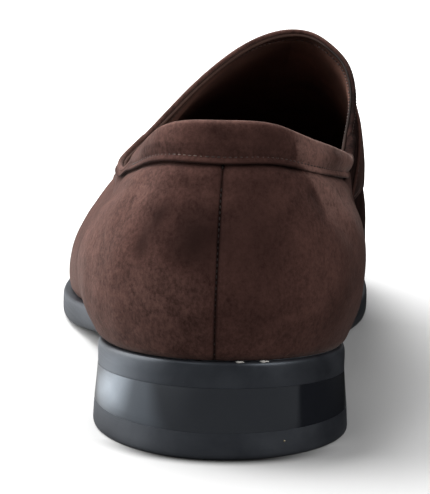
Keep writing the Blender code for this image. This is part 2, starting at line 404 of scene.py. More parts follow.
def upper_surface(turn, climb):
    """The outside of the upper: a cubic profile from the feather line to the topline."""
    turn, climb = np.broadcast_arrays(np.asarray(turn, float), np.asarray(climb, float))
    columns = ("rise", "bulge", "drop", "share", "puff")
    rise, bulge, drop, share, puff = (look_round(PROFILE, name, turn) for name in columns)
    foot = feather_plan(turn)
    head = topline_plan(turn)
    out = outward(feather_plan, turn)
    low = sole_top(foot[..., 1]) + JOINT_GAP
    high = look_round(TOPLINE, "height", turn)
    points = [
        raised(foot, low),
        raised(foot + out * bulge[..., None], low + rise),
        raised(head + (foot - head) * share[..., None], high - drop),
        raised(head, high),
    ]
    left = 1.0 - climb
    weights = [left**3, 3.0 * left**2 * climb, 3.0 * left * climb**2, climb**3]
    skin = sum(point * weight[..., None] for point, weight in zip(points, weights))
    swell = puff * smooth(SWELL["climb"], SWELL["share"], climb)
    pushed = near_place(signed_turn(turn), RIM_PUSH_PLACE) * ease((climb - 0.70) / 0.28)
    swell = swell + RIM_PUSH * pushed
    return skin + raised(out * swell[..., None], np.zeros_like(climb))


def upper_normal(turn, climb):
    """The way out of the upper, level at the feather line so that its rim lies flat on the sole."""
    high, low = np.minimum(climb + TURN_STEP, 1.0), np.maximum(climb - TURN_STEP, 0.0)
    up = upper_surface(turn, high) - upper_surface(turn, low)
    ahead = upper_surface(turn + TURN_STEP, climb) - upper_surface(turn - TURN_STEP, climb)
    normal = unit(np.cross(up, ahead))
    normal[..., 2] *= np.clip(climb / 0.08, 0.0, 1.0)
    return unit(normal)


class Skin:
    """The upper's outside on some turns, where a point is found by its rise from the sole."""

    CLIMBS = np.linspace(0.0, 1.0, 301)

    def __init__(self, turns):
        self.turns = np.asarray(turns, float)
        points = upper_surface(self.turns[:, None], self.CLIMBS)
        self.rises = run_along(points, 1)
        self.length = self.rises[:, -1]

    def climbs(self, rise):
        return np.stack([np.interp(r, rises, self.CLIMBS) for r, rises in zip(rise, self.rises)])

    def place(self, rise):
        """Base points and outward directions for rows of rises, one row for each turn."""
        climb = self.climbs(rise)
        turn = np.broadcast_to(self.turns[:, None], climb.shape)
        return upper_surface(turn, climb), upper_normal(turn, climb)

    def points(self, rise, proud):
        base, normal = self.place(rise)
        return base + normal * np.asarray(proud)[..., None]


def ease(value):
    """Zero below 0, one above 1, and a soft step between."""
    part = np.clip(value, 0.0, 1.0)
    return part * part * (3.0 - 2.0 * part)


def bump(distance, width):
    return np.exp(-((distance / width) ** 2))


def near_place(around, place):
    """1 at a place's turn, fading over its width."""
    turn, width = place
    return bump(around - turn, width)


def ripple(points, length, seed):
    """A soft unevenness of about that length, the same each time."""
    draw = np.random.default_rng(seed)
    total = np.zeros(points.shape[:-1])
    for _ in range(7):
        way = draw.normal(size=3)
        way *= draw.uniform(0.7, 1.4) / np.linalg.norm(way)
        total += np.sin(points @ way * (2.0 * math.pi / length) + draw.uniform(0.0, 2.0 * math.pi))
    return total / 7.0**0.5


def band_height(turn):
    """The collar band's height, by a turn that is negative on the medial side."""
    return smooth(BAND["turn"], BAND["height"], turn)


def signed_turn(turn):
    return np.mod(turn + 0.5, 1.0) - 0.5


def under_band(turn):
    """One where the collar band covers the topline, zero beside the tongue."""
    return 1.0 - ease((np.abs(signed_turn(turn)) - (BAND_END_TURN - 0.008)) / 0.006)


def crease_depth(points):
    """How deep the creases press into the suede at each point."""
    depth = np.zeros(points.shape[:-1])
    share = np.linspace(0.0, 1.0, 48)
    for turn_from, climb_from, turn_to, climb_to, width, deep in zip(*CREASES.values()):
        turns = turn_from + (turn_to - turn_from) * share
        climbs = climb_from + (climb_to - climb_from) * share
        nearest, at = np.full(depth.shape, np.inf), np.zeros(depth.shape)
        for spot, part in zip(upper_surface(turns, climbs), share):
            distance = ((points - spot) ** 2).sum(axis=-1)
            at = np.where(distance < nearest, part, at)
            nearest = np.minimum(distance, nearest)
        depth += deep * np.exp(-nearest / width**2) * np.sin(math.pi * np.clip(at, 0.02, 0.98)) ** 0.5
    return depth


def nap_and_light_patches(points):
    """How much lighter or darker the suede is at each point, about -1 to 1: brushed nap together with painted
    light and shade.
    """
    nap = np.zeros(points.shape[:-1])
    for turn, climb, wide, tall, lean, amount, border in zip(*NAP_AND_LIGHT_PATCHES.values()):
        level = unit(upper_surface(turn + TURN_STEP, climb) - upper_surface(turn - TURN_STEP, climb))
        up = unit(np.cross(level, upper_normal(np.array(turn), np.array(climb))))
        away = points - upper_surface(turn, climb)
        side, high = away @ level, away @ up
        slant = math.radians(lean)
        first = side * math.cos(slant) + high * math.sin(slant)
        second = high * math.cos(slant) - side * math.sin(slant)
        spread = (first / wide) ** 2 + (second / tall) ** 2 + ((away**2).sum(-1) / PATCH_REACH**2) ** 2
        nap += amount * np.exp(-spread) * ease((border - first) / PATCH_BORDER + 0.5)
    return nap


def to_world(points):
    return (np.asarray(points, float).reshape(-1, 3) - (ORIGIN_ACROSS, ORIGIN_ALONG, 0.0)) * MM


def ring_faces(rings, points, closed_round):
    """Quads over closed rings of points, which run once round or from a first ring to a last."""
    ring = np.arange(rings if closed_round else rings - 1)[:, None]
    here, there = ring * points, (ring + 1) % rings * points
    spot = np.arange(points)[None, :]
    after = (spot + 1) % points
    quads = np.stack([here + spot, here + after, there + after, there + spot], axis=-1)
    return quads.reshape(-1, 4).tolist()


def end_faces(first, points):
    """A strip of faces that closes a ring, from its middle to the place where it starts."""
    low, high = first, first + points - 1
    strip = []
    while high - low > 2:
        strip.append([low, low + 1, high - 1, high])
        low, high = low + 1, high - 1
    if high - low == 2:
        strip.append([low, low + 1, high])
    return strip


def add_piece(name, rings, closed_round, material, node=None, sharp=None, nap=None):
    """A closed piece skinned over rings of points, with flat ends where the rings don't run round."""
    rings = np.asarray(rings, float)
    count, points = rings.shape[:2]
    faces = ring_faces(count, points, closed_round)
    if not closed_round:
        for first in (0, (count - 1) * points):
            faces.extend(end_faces(first, points))
    mesh = bpy.data.meshes.new(name)
    mesh.from_pydata(to_world(rings).tolist(), [], faces)
    if nap is not None:
        # The nap attribute holds brushed nap together with painted light and shade; on the lining, painted
        # light and shade alone
        brushed = mesh.attributes.new("nap", "FLOAT", "POINT")
        brushed.data.foreach_set("value", np.asarray(nap, np.float32).ravel())
    return finish_piece(name, mesh, material, node, sharp)


def add_suede(name, rings, closed_round, node, nap):
    material = suede_material("napped_suede")
    return add_piece(name, rings, closed_round, material, node, nap=nap)


def finish_piece(name, mesh, material, node=None, sharp=None):
    """Turns a mesh's faces outwards and puts it on the shoe as a piece."""
    form = bmesh.new()
    form.from_mesh(mesh)
    bmesh.ops.recalc_face_normals(form, faces=form.faces)
    form.to_mesh(mesh)
    form.free()
    mesh.shade_smooth()
    if sharp is not None:
        mesh.set_sharp_from_angle(angle=math.radians(sharp))
    mesh.materials.clear()
    mesh.materials.append(material)
    piece = bpy.data.objects.new(name, mesh)
    bpy.context.scene.collection.objects.link(piece)
    return settle(piece, node)


def settle(piece, node=None):
    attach(piece, BODY)
    if node:
        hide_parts(node)
    return piece


class Wiring:
    """Places nodes in a tree and joins their sockets."""

    def __init__(self, tree):
        self.tree = tree

    def feed(self, node, values):
        """Sets a node's inputs, or links those whose value comes from another node."""
        for key, value in values.items():
            if isinstance(value, bpy.types.NodeSocket):
                self.tree.links.new(value, node.inputs[key])
            else:
                node.inputs[key].default_value = value

    def node(self, kind, inputs=None, **settings):
        made = self.tree.nodes.new(kind)
        for name, value in settings.items():
            setattr(made, name, value)
        self.feed(made, inputs or {})
        return made

    def out(self, kind, inputs=None, result=0, **settings):
        return self.node(kind, inputs, **settings).outputs[result]

    def math(self, operation, first, second=0.0, clamp=False):
        return self.out("ShaderNodeMath", {0: first, 1: second}, operation=operation, use_clamp=clamp)

    def times(self, first, *others):
        for other in others:
            first = self.math("MULTIPLY", first, other)
        return first

    def plus(self, first, *others):
        for other in others:
            first = self.math("ADD", first, other)
        return first

    def scaled(self, vector, scale):
        return self.out("ShaderNodeMapping", {"Vector": vector, "Scale": scale})

    def noise(self, vector, scale, detail=2.0, roughness=0.5, distortion=0.0):
        values = {"Vector": vector, "Scale": scale, "Detail": detail}
        values.update({"Roughness": roughness, "Distortion": distortion})
        return self.out("ShaderNodeTexNoise", values)

    def fit(self, value, low, high, to_low=0.0, to_high=1.0):
        values = {"Value": value, "From Min": low, "From Max": high, "To Min": to_low, "To Max": to_high}
        return self.out("ShaderNodeMapRange", values, clamp=True)

    def mix(self, factor, first, second, blend="MIX"):
        values = {0: factor, 6: first, 7: second}
        settings = {"data_type": "RGBA", "blend_type": blend, "clamp_factor": True}
        return self.out("ShaderNodeMix", values, 2, **settings)

    def lightened(self, colour, amount, strength):
        """A colour made lighter where the amount is above zero and darker below."""
        gain = self.math("MAXIMUM", self.plus(self.times(amount, strength), 1.0), 0.1)
        return self.mix(1.0, colour, gain, "MULTIPLY")

    def bumped(self, height, distance, strength):
        values = {"Height": height, "Distance": distance, "Strength": strength}
        return self.out("ShaderNodeBump", values)


def shader_group(name, inputs, outputs):
    """An empty node group with sockets, each given as its name and kind."""
    group = bpy.data.node_groups.new(name, "ShaderNodeTree")
    for sockets, way in ((inputs, "INPUT"), (outputs, "OUTPUT")):
        for socket in sockets:
            label, kind = socket.rsplit(" ", 1)
            group.interface.new_socket(label, in_out=way, socket_type="NodeSocket" + kind)
    wiring = Wiring(group)
    return group, wiring, wiring.node("NodeGroupInput").outputs


def suede_group():
    """Napped suede: patches brushed to and fro together with painted light and shade, tufts and short fibres.
    """
    inputs = ("Place Vector", "Dark Color", "Light Color", "Ruffled Color", "Brushed Float")
    scales = ("Patch Scale Float", "Tuft Scale Float", "Fibre Scale Float")
    outputs = ("Colour Color", "Height Float", "Fuzz Float")
    group, w, given = shader_group("suede_nap", inputs + scales, outputs)
    place, brushed = given["Place"], given["Brushed"]
    patches = w.noise(place, given["Patch Scale"], 3.0, 0.6, 1.2)
    tufts = w.noise(place, given["Tuft Scale"], 3.0, 0.65, 0.6)
    fibres = w.noise(w.scaled(place, (1.0, 1.0, 0.8)), given["Fibre Scale"], 3.0, 0.75)
    tufted, fibred = w.fit(tufts, 0.32, 0.68), w.fit(fibres, 0.34, 0.66)
    # The given value, brushed nap with painted light and shade, lightens the suede above zero and darkens it
    # below; the lightest parts also turn towards the pale ruffled colour, partly a painted sheen
    ruffled = w.times(brushed, w.plus(w.times(tufted, 0.7), w.times(fibred, 0.9), 0.2))
    lay = w.plus(w.times(w.fit(patches, 0.33, 0.67), 0.34), w.times(tufted, 0.26), w.times(fibred, 0.38))
    lay = w.math("ADD", lay, w.times(ruffled, 0.25), True)
    colour = w.lightened(w.mix(lay, given["Dark"], given["Light"]), ruffled, 0.55)
    results = {
        "Colour": w.mix(w.fit(ruffled, 0.0, 1.2, 0.0, 0.55), colour, given["Ruffled"]),
        "Height": w.plus(w.times(tufts, 0.6), w.times(fibres, 0.4)),
        # No sheen where the value is deepest, on the painted shade of the medial side
        "Fuzz": w.fit(brushed, -1.0, -0.35),
    }
    w.node("NodeGroupOutput", results)
    return group


def rubber_group():
    """Trimmed rubber: fine lines left by the trimming wheel, dust and small scuffs."""
    name = "trimmed_rubber"
    if name in bpy.data.node_groups:
        return bpy.data.node_groups[name]
    inputs = ("Place Vector", "Black Color", "Dust Color", "Dust Amount Float")
    gloss = ("Gloss Low Float", "Gloss High Float")
    group, w, given = shader_group(name, inputs + gloss, ("Colour Color", "Roughness Float", "Height Float"))
    lines = w.noise(w.scaled(given["Place"], (0.03, 0.03, 1.0)), 1400.0, 3.0, 0.6)
    cloud = w.noise(given["Place"], 60.0, 4.0, 0.6, 0.4)
    grit = w.noise(given["Place"], 900.0, 2.0, 0.7)
    dusty = w.times(w.fit(cloud, 0.20, 0.80), given["Dust Amount"])
    specks = w.times(w.fit(grit, 0.70, 0.78), w.times(given["Dust Amount"], 0.8))
    spread = w.plus(w.times(cloud, 0.6), w.times(lines, 0.4))
    results = {
        "Colour": w.mix(w.math("ADD", dusty, specks, True), given["Black"], given["Dust"]),
        "Roughness": w.fit(spread, 0.3, 0.7, given["Gloss Low"], given["Gloss High"]),
        "Height": w.plus(w.times(lines, 0.6), w.times(grit, 0.4)),
    }
    w.node("NodeGroupOutput", results)
    return group


def leather_group():
    """Smooth leather: small closed pores and a faint cloud of colour."""
    inputs = ("Place Vector", "Dark Color", "Light Color", "Facing Float", "Pore Scale Float")
    outputs = ("Colour Color", "Roughness Float", "Height Float")
    group, w, given = shader_group("smooth_leather", inputs, outputs)
    cloud = w.noise(given["Place"], 70.0, 4.0, 0.6, 0.5)
    cells = {"Vector": given["Place"], "Scale": given["Pore Scale"]}
    mixed = w.mix(w.fit(cloud, 0.3, 0.7), given["Dark"], given["Light"])
    results = {
        # The colour is lightened or darkened by the painted light and shade it is given
        "Colour": w.lightened(mixed, given["Facing"], 1.0),
        "Roughness": w.fit(cloud, 0.3, 0.7, 0.62, 0.78),
        "Height": w.out("ShaderNodeTexVoronoi", cells, "Distance"),
    }
    w.node("NodeGroupOutput", results)
    return group


def new_material(name):
    made = bpy.data.materials.new(name)
    made.use_nodes = True
    wiring = Wiring(made.node_tree)
    return made, wiring, made.node_tree.nodes["Principled BSDF"]


def object_place(wiring):
    return wiring.out("ShaderNodeTexCoord", None, "Object")


# Reads the piece's nap attribute: brushed nap with painted light and shade on the suede, painted light and
# shade alone on the lining
def nap_and_painted_light(wiring):
    return wiring.out("ShaderNodeAttribute", None, "Fac", attribute_name="nap")


def solid(colour):
    return (*colour, 1.0)


def grey(value):
    return (value, value, value, 1.0)


def suede_material(name):
    """Suede whose nap is brushed, with painted light and shade, as its piece says."""
    if name in bpy.data.materials:
        return bpy.data.materials[name]
    looks = bpy.context.scene.loafer_finish
    made, w, shader = new_material(name)
    values = {
        "Place": object_place(w),
        "Dark": solid(looks.suede_dark),
        "Light": solid(looks.suede_light),
        "Ruffled": solid(looks.suede_ruffled_painted_sheen),
        "Brushed": nap_and_painted_light(w),
        "Patch Scale": 38.0,
        "Tuft Scale": 250.0,
        "Fibre Scale": 1000.0,
    }
    suede = w.node("ShaderNodeGroup", values, node_tree=suede_group()).outputs
    finish = {
        "Base Color": suede["Colour"],
        "Roughness": 0.95,
        "Specular IOR Level": 0.05,
        "Sheen Weight": w.times(suede["Fuzz"], looks.suede_sheen),
        "Sheen Roughness": 0.42,
        "Sheen Tint": solid(looks.sheen_tint),
        "Normal": w.bumped(suede["Height"], 0.0007, 0.5),
    }
    w.feed(shader, finish)
    return made


def rubber_material(name, gloss_low, gloss_high, dust, coat=0.0):
    looks = bpy.context.scene.loafer_finish
    made, w, shader = new_material(name)
    values = {
        "Place": object_place(w),
        "Black": solid(looks.rubber),
        "Dust": solid(looks.dust),
        "Dust Amount": dust,
        "Gloss Low": gloss_low,
        "Gloss High": gloss_high,
    }
    rubber = w.node("ShaderNodeGroup", values, node_tree=rubber_group()).outputs
    finish = {
        "Base Color": rubber["Colour"],
        "Roughness": rubber["Roughness"],
        "Specular IOR Level": 0.5,
        "Specular Tint": solid((0.80, 0.89, 1.0)),
        "Coat Weight": coat,
        "Coat Roughness": 0.09,
        "Coat Tint": solid((0.95, 0.98, 1.0)),
        "Normal": w.bumped(rubber["Height"], 0.00004, 0.3),
    }
    w.feed(shader, finish)
    return made


def lining_material(name):
    looks = bpy.context.scene.loafer_finish
    made, w, shader = new_material(name)
    dark = np.array(looks.lining)
    values = {
        "Place": object_place(w),
        "Dark": solid(dark * 0.75),
        "Light": solid(dark * 1.3),
        "Facing": nap_and_painted_light(w),
        "Pore Scale": 1100.0,
    }
    leather = w.node("ShaderNodeGroup", values, node_tree=leather_group()).outputs
    finish = {
        "Base Color": leather["Colour"],
        "Roughness": leather["Roughness"],
        "Specular IOR Level": 0.12,
        "Normal": w.bumped(leather["Height"], 0.0001, 0.4),
    }
    w.feed(shader, finish)
    return made


def thread_material(name, colour):
    """Twisted thread, with its strands across the stitch."""
    made, w, shader = new_material(name)
    strands = w.noise(object_place(w), 2600.0, 2.0, 0.6)
    tint = w.mix(strands, solid(np.array(colour) * 0.7), solid(np.array(colour) * 1.25))
    w.feed(shader, {"Base Color": tint, "Roughness": 0.6, "Normal": w.bumped(strands, 0.0001, 0.5)})
    return made


def speck_material(name, colour):
    made, w, shader = new_material(name)
    mottle = w.noise(object_place(w), 1800.0, 3.0, 0.6)
    tint = w.mix(mottle, solid(np.array(colour) * 0.75), solid(colour))
    w.feed(shader, {"Base Color": tint, "Roughness": 0.55})
    return made


def floor_material(stage):
    """Pale to the camera with a painted contact shadow behind the heel, duller to the light it throws back,
    and bright
    or dark where the heel mirrors it: a painted reflection on the lateral side and painted shade beside the
    medial side.
    """
    made, w, shader = new_material("pale_floor")
    place = object_place(w)
    side = w.node("ShaderNodeSeparateXYZ", {0: place}).outputs
    path = w.node("ShaderNodeLightPath").outputs
    seen = path["Is Camera Ray"]
    pale = np.array(stage.floor)
    white = w.mix(w.noise(place, 9.0, 2.0), solid(pale * 0.985), solid(pale))
    # Painted contact shadow: just behind the heel the floor is darkened where the heel hides it
    open_sky = w.out("ShaderNodeAmbientOcclusion", {"Distance": 0.007}, "AO")
    under = w.times(w.fit(open_sky, 0.97, 0.58), w.fit(side["Y"], -0.128, -0.146))
    white = w.mix(under, white, solid(pale * 0.06))
    # To all but camera rays: paler far out on the lateral side as a painted reflection, and nearly black
    # beside the shoe's medial side as painted shade
    dull = w.mix(w.fit(side["X"], -0.35, -0.06), grey(0.6), grey(stage.bounce))
    shaded = w.times(w.fit(side["X"], 0.046, 0.058), w.fit(side["Y"], -0.149, -0.139))
    dull = w.mix(shaded, dull, grey(0.015))
    away = w.out("ShaderNodeVectorMath", {0: place, 1: (0.0, -0.1, 0.0)}, "Value", operation="DISTANCE")
    glow = w.times(seen, w.fit(away, 0.15, 0.45, 0.0, stage.backdrop))
    # Painted reflection: the floor's lateral side glows with a bluish light that only glossy rays see, so the
    # heel mirrors it brightly
    mirrored = w.times(
        path["Is Glossy Ray"],
        w.fit(side["X"], -0.080, -0.038, stage.mirrored, 0.0),
        w.fit(side["Y"], -0.195, -0.155, 0.0, 0.36),
        w.fit(side["Y"], -0.120, -0.090, 1.0, 3.0),
        w.fit(side["Y"], -0.070, -0.040, 1.0, 0.2),
    )
    finish = {
        "Base Color": w.mix(seen, dull, white),
        "Emission Strength": w.plus(glow, mirrored),
        "Emission Color": w.mix(seen, solid((0.84, 0.92, 1.0)), grey(1.0)),
        "Roughness": 0.7,
        "Specular IOR Level": 0.0,
    }
    w.feed(shader, finish)
    return made


def size(name, description, default):
    shown = {"min": 0.0, "max": 0.05, "unit": "LENGTH", "precision": 5}
    return bpy.props.FloatProperty(name=name, description=description, default=default, **shown)


def colour(name, description, default):
    shown = {"size": 3, "min": 0.0, "max": 1.0, "subtype": "COLOR"}
    return bpy.props.FloatVectorProperty(name=name, description=description, default=default, **shown)


def amount(name, description, default, high=1.0):
    shown = {"min": 0.0, "max": high, "subtype": "FACTOR"}
    return bpy.props.FloatProperty(name=name, description=description, default=default, **shown)


def watts(name, description, default):
    shown = {"min": 0.0, "unit": "POWER"}
    return bpy.props.FloatProperty(name=name, description=description, default=default, **shown)


class LoaferSizes(bpy.types.PropertyGroup):
    """Small sizes of what is sewn and trimmed on the shoe"""

    suede: size("Suede", "Thickness of the suede, without its lining", 0.00125)
    seam_depth: size("Seam depth", "How deep the back seam is drawn in", 0.0008)
    band_puff: size("Band puff", "How far the collar band swells between its edges", 0.0006)
    band_channel: size("Band channel", "Depth of the sewn channel on the collar band", 0.00035)
    strap_puff: size("Strap puff", "How far the saddle strap swells between its edges", 0.0004)
    stitch_margin: size("Stitch margin", "Distance of a stitch row from its edge", 0.0019)
    rim_margin: size("Rim margin", "Distance of the topline's stitch row from the topline", 0.0032)
    stitch_pitch: size("Stitch pitch", "Distance from stitch to stitch", 0.0015)
    stitch_length: size("Stitch length", "Length of one stitch that shows", 0.0011)
    stitch_width: size("Stitch width", "Width of the thread", 0.00045)
    creases: bpy.props.FloatProperty(
        name="Creases", description="How strongly the creases show", default=1.0, min=0.0, max=2.0
    )


class LoaferFinish(bpy.types.PropertyGroup):
    """Colours and gloss of the shoe"""

    suede_dark: colour("Suede dark", "Suede with its nap brushed down", (0.0240, 0.0102, 0.0084))
    suede_light: colour("Suede light", "Suede with its nap brushed up", (0.1050, 0.0500, 0.0410))
    # Pale, less red colour that the lightest patches turn towards: ruffled nap together with a painted sheen
    suede_ruffled_painted_sheen: colour("Suede ruffled", "Suede with its nap ruffled right up", (0.130, 0.078, 0.066))
    sheen_tint: colour("Sheen tint", "Colour of the nap against the light", (0.86, 0.73, 0.67))
    suede_sheen: amount("Suede sheen", "Strength of the nap against the light", 0.15)
    lining: colour("Lining", "Smooth lining leather and sock", (0.080, 0.041, 0.031))
    thread: colour("Thread", "Thread of the rows that show", (0.046, 0.0235, 0.019))
    worn_thread: colour("Worn thread", "Thread rubbed pale beside the back seam", (0.17, 0.125, 0.105))
    rubber: colour("Rubber", "Black rubber of sole and heel", (0.0078, 0.0086, 0.0118))
    dust: colour("Dust", "Fine dust on the rubber", (0.044, 0.047, 0.054))
    glue: colour("Glue", "Dried glue at the sole's joint", (0.62, 0.60, 0.56))
    dirt: colour("Dirt", "A grain of dirt on the heel", (0.42, 0.36, 0.24))


class LoaferStage(bpy.types.PropertyGroup):
    """Floor, light and camera"""

    floor: colour("Floor", "Plain pale floor", (0.60, 0.60, 0.60))
    bounce: amount("Bounce", "How much light the floor throws back on the shoe", 0.18)
    backdrop: amount("Backdrop", "How far the floor behind the shoe is lit up", 1.0)
    # Strength of the painted reflection: the floor's lateral side glowing only in glossy reflections, and the
    # world's glossy light
    mirrored: amount("Mirrored", "How bright the floor's lateral side is mirrored in the heel", 2.5, 5.0)
    ambient: bpy.props.FloatProperty(name="Ambient", description="Light from all round", default=0.7, min=0.0)
    overhead: watts("Overhead", "Power of the soft light above", 26.0)
    side: watts("Side", "Power of the soft light on the lateral side", 9.5)
    back: watts("Back", "Power of the light behind the heel", 1.8)
    fill: watts("Fill", "Power of the weak light on the medial side", 4.3)
    lens: bpy.props.FloatProperty(
        name="Lens", description="Focal length of the camera", default=199.07, min=1.0, unit="CAMERA"
    )


def seam_turns():
    """Turns once round the upper, close together at the back seam."""
    fine = np.array([0.12, 0.26, 0.42, 0.62, 0.9, 1.3, 1.9, 2.7, 3.8, 5.2]) / 400.0
    side = np.concatenate([fine, np.linspace(0.0155, 0.4985, 208)])
    return np.concatenate([[0.0], side, [0.5], 1.0 - side[::-1]])


def upper_detail(turns, skin, rise, base, sizes):
    """How far the suede stands out of the plain skin: seam, creases, tucks and unevenness."""
    seam = np.linalg.norm(base - base[:1], axis=-1)
    deep = sizes.seam_depth / MM
    beat = 0.86 + 0.14 * np.cos(2.0 * math.pi * rise / 1.45)
    near = np.abs(signed_turn(turns))[:, None] < 0.05
    groove = -0.7 * deep * bump(seam, 0.36) * beat - 0.42 * deep * bump(seam, 1.25)
    groove += 0.2 * bump(seam - 2.8, 1.5)
    below_top = skin.length[:, None] - rise
    band_edge = below_top - band_height(signed_turn(turns))[:, None]
    covered = under_band(turns)[:, None]
    tuck = covered * (0.5 * bump(band_edge - 3.4, 2.4) - 0.5 * bump(band_edge, 1.1))
    foot = -0.62 * bump(rise, 0.8) + 0.12 * bump(rise - 2.4, 1.4)
    uneven = 0.20 * ripple(base, 34.0, 3) + 0.10 * ripple(base, 13.0, 5)
    fade = ease(rise / 6.0) * ease(below_top / 6.0)
    creases = -crease_depth(base) * sizes.creases
    return np.where(near, groove, 0.0) + tuck + foot + fade * (uneven + creases)


class LOAFER_OT_upper(bpy.types.Operator):
    """Suede shell with its back seam, creases and folded topline"""

    bl_idname = "loafer.upper"
    bl_label = "Upper"

    def execute(self, context):
        sizes = context.scene.loafer_sizes
        wall = sizes.suede / MM
        turns = seam_turns()
        count = len(turns)
        around = signed_turn(turns)[:, None]
        skin = Skin(turns)
        roll = 0.5 * wall
        low = np.array([0.0, 0.2, 0.45, 0.75, 1.1, 1.6, 2.2])
        head = np.array([2.6, 1.9, 1.3, 0.8, 0.4, 0.0])
        top = (skin.length - 1.7 * under_band(turns))[:, None]
        middle = 3.0 + np.linspace(0.0, 1.0, 122) * (top - roll - 3.0 - 3.2)
        rise = join(count, low, middle, top - roll - head)
        base, normal = skin.place(rise)
        outside = base + normal * upper_detail(turns, skin, rise, base, sizes)[..., None]
        bend = half_roll(9)
        rim = skin.points(top - roll + roll * np.sin(bend), join(count, roll * (np.cos(bend) - 1.0)))
        back = np.linspace(1.0, 0.0, 16) ** 1.2
        under = skin.points(back * (top - roll), np.full((count, len(back)), -wall))
        below_top = skin.length[:, None] - rise
        seam = np.linalg.norm(base - base[:1], axis=-1)
        # Painted highlight along the topline, darker along the back seam, and painted shade in a thin line
        # under the collar band's lower edge; painted shade over the medial side, and on the rolled topline a
        # painted highlight that turns to painted shade on the medial side
        worn = 0.35 * bump(below_top, 2.2) - 0.8 * bump(seam, 0.45)
        worn -= 0.8 * under_band(turns)[:, None] * bump(below_top - band_height(around), 0.7)
        flank_painted_shade = near_place(around, SHADED_FLANK_PLACE)
        rim_painted_light_and_shade = np.broadcast_to(0.35 - 1.7 * flank_painted_shade, (count, len(bend) + len(back)))
        nap = join(count, nap_and_light_patches(base) + worn - 1.1 * flank_painted_shade, rim_painted_light_and_shade)
        add_suede("upper_suede", np.concatenate([outside, rim, under], axis=1), True, "upper", nap)
        return {"FINISHED"}


class LOAFER_OT_lining(bpy.types.Operator):
    """Lining inside the upper, with its own folded edge, and the sock over the insole"""

    bl_idname = "loafer.lining"
    bl_label = "Lining and sock"

    def execute(self, context):
        sizes = context.scene.loafer_sizes
        material = lining_material("lining_leather")
        turns = np.arange(280) / 280.0
        count = len(turns)
        around = signed_turn(turns)[:, None]
        skin = Skin(turns)
        medial, lateral = (near_place(around, p) for p in (LINING_MEDIAL_PLACE, LINING_LATERAL_PLACE))
        outer, inner = -sizes.suede / MM - 0.08, -UPPER_WALL
        edge = inner + 0.55 * medial
        roll = 0.5 * (outer - edge)
        top = (skin.length - LINING_DROP)[:, None]
        below = np.array([12.0, 9.0, 7.0, 5.6, 4.6, 4.0, 3.6, 3.3, 3.0, 2.7, 2.3, 1.8, 1.2, 0.6, 0.0])
        rise = join(count, 0.6 + np.linspace(0.0, 1.0, 46) * (top - roll - 13.5), top - roll - below)
        below_top = top - rise
        channel = 0.25 * bump(below_top - sizes.rim_margin / MM, 0.5) - 0.15 * bump(below_top - 1.1, 1.0)
        base, normal = skin.place(rise)
        wave = 0.15 * ripple(base, 26.0, 11) * ease(below_top / 8.0)
        skived = (edge - inner) * ease(1.0 - below_top / 10.0)
        inside = base + normal * (inner + skived + channel + wave)[..., None]
        bend = half_roll(9)
        rim_proud = 0.5 * (edge + outer) - roll * np.cos(bend) - 0.12 * (1.0 + np.cos(bend))
        rim = skin.points(top - roll + roll * np.sin(bend), rim_proud)
        back = np.linspace(1.0, 0.0, 14)
        outside = skin.points(0.6 + back * (top - roll - 0.6), np.full((count, len(back)), outer))
        # Painted light and shade on the lining's inside, from about a millimetre to a few centimetres under
        # its edge: lighter on the two sides, most on the medial side, a little darker elsewhere, and painted
        # shade just under the edge; the rolled edge gets painted shade, darkest on the medial side
        reach = ease((below_top - 1.0) / 6.0) * ease((30.0 + 20.0 * medial - below_top) / 18.0)
        painted_shading = (-0.2 + lateral + 2.0 * medial) * reach - 0.45 * bump(below_top - 0.4, 1.2)
        rim_painted_shade = np.broadcast_to(-0.35 - 0.65 * medial, rim.shape[:2])
        nap = join(count, painted_shading, rim_painted_shade, np.zeros(len(back)))
        rings = np.concatenate([inside, rim, outside], axis=1)
        add_piece("lining", rings, True, material, None, nap=nap)
        self.add_sock(material)
        return {"FINISHED"}

    def add_sock(self, material):
        edge = UPPER_WALL + 3.0 * JOINT_GAP
        rings = []
        for turn in np.linspace(0.015, 0.485, 120):
            medial, lateral = (inset(feather_plan, np.array(t), edge) for t in (1.0 - turn, turn))
            across = lateral - medial
            ring = []
            for share, lift in sock_section(np.linalg.norm(across)):
                spot = medial + across * share
                ring.append((*spot, float(sole_top(spot[1])) + JOINT_GAP + lift))
            rings.append(ring)
        add_piece("insole_sock", rings, False, material, "insole", sharp=50.0)


def sock_section(width):
    """A section of the insole with its sock: share of the width and height, medial to lateral and back."""
    top = [(0.0, 0.55), (0.6, 0.80), (1.2, 0.97), (2.5, 1.0)]
    up = [(inside / width, lift * INSOLE_THICKNESS) for inside, lift in top]
    sag = [(share, 1.0 - 0.10 * math.sin(math.pi * share)) for share in np.linspace(0.1, 0.9, 9)]
    middle = [(share, INSOLE_THICKNESS * lift) for share, lift in sag]
    down = [(1.0 - share, lift) for share, lift in up[::-1]]
    return [(0.0, 0.0)] + up + middle + down + [(1.0, 0.0)]


def folded_edge(radius, steps=9):
    """Half a roll, as distance in from the edge and height, from the under side to the upper one."""
    bend = np.linspace(-0.5 * math.pi, -1.5 * math.pi, steps)
    return radius + radius * np.cos(bend), radius + radius * np.sin(bend)


def corner_cut(distance, radius):
    """How far a rounded corner draws an edge in, at a distance from the strip's end."""
    return radius - np.sqrt(np.maximum(radius**2 - np.maximum(radius - distance, 0.0) ** 2, 0.0))


def end_fill(distance, radius):
    """How full a sewn-on strip is near its end, from a thin lip to its whole thickness."""
    part = np.clip(distance / radius, 0.0, 1.0)
    return np.maximum(np.sqrt(1.0 - (1.0 - part) ** 2), 0.16)


def band_turns():
    near = np.array([0.0, 0.12, 0.3, 0.55, 0.85, 1.2, 1.7, 2.4, 3.2]) / BAND_RUN
    middle = np.linspace(-BAND_END_TURN + 0.006, BAND_END_TURN - 0.006, 300)
    return np.concatenate([-BAND_END_TURN + near, middle, BAND_END_TURN - near[::-1]])


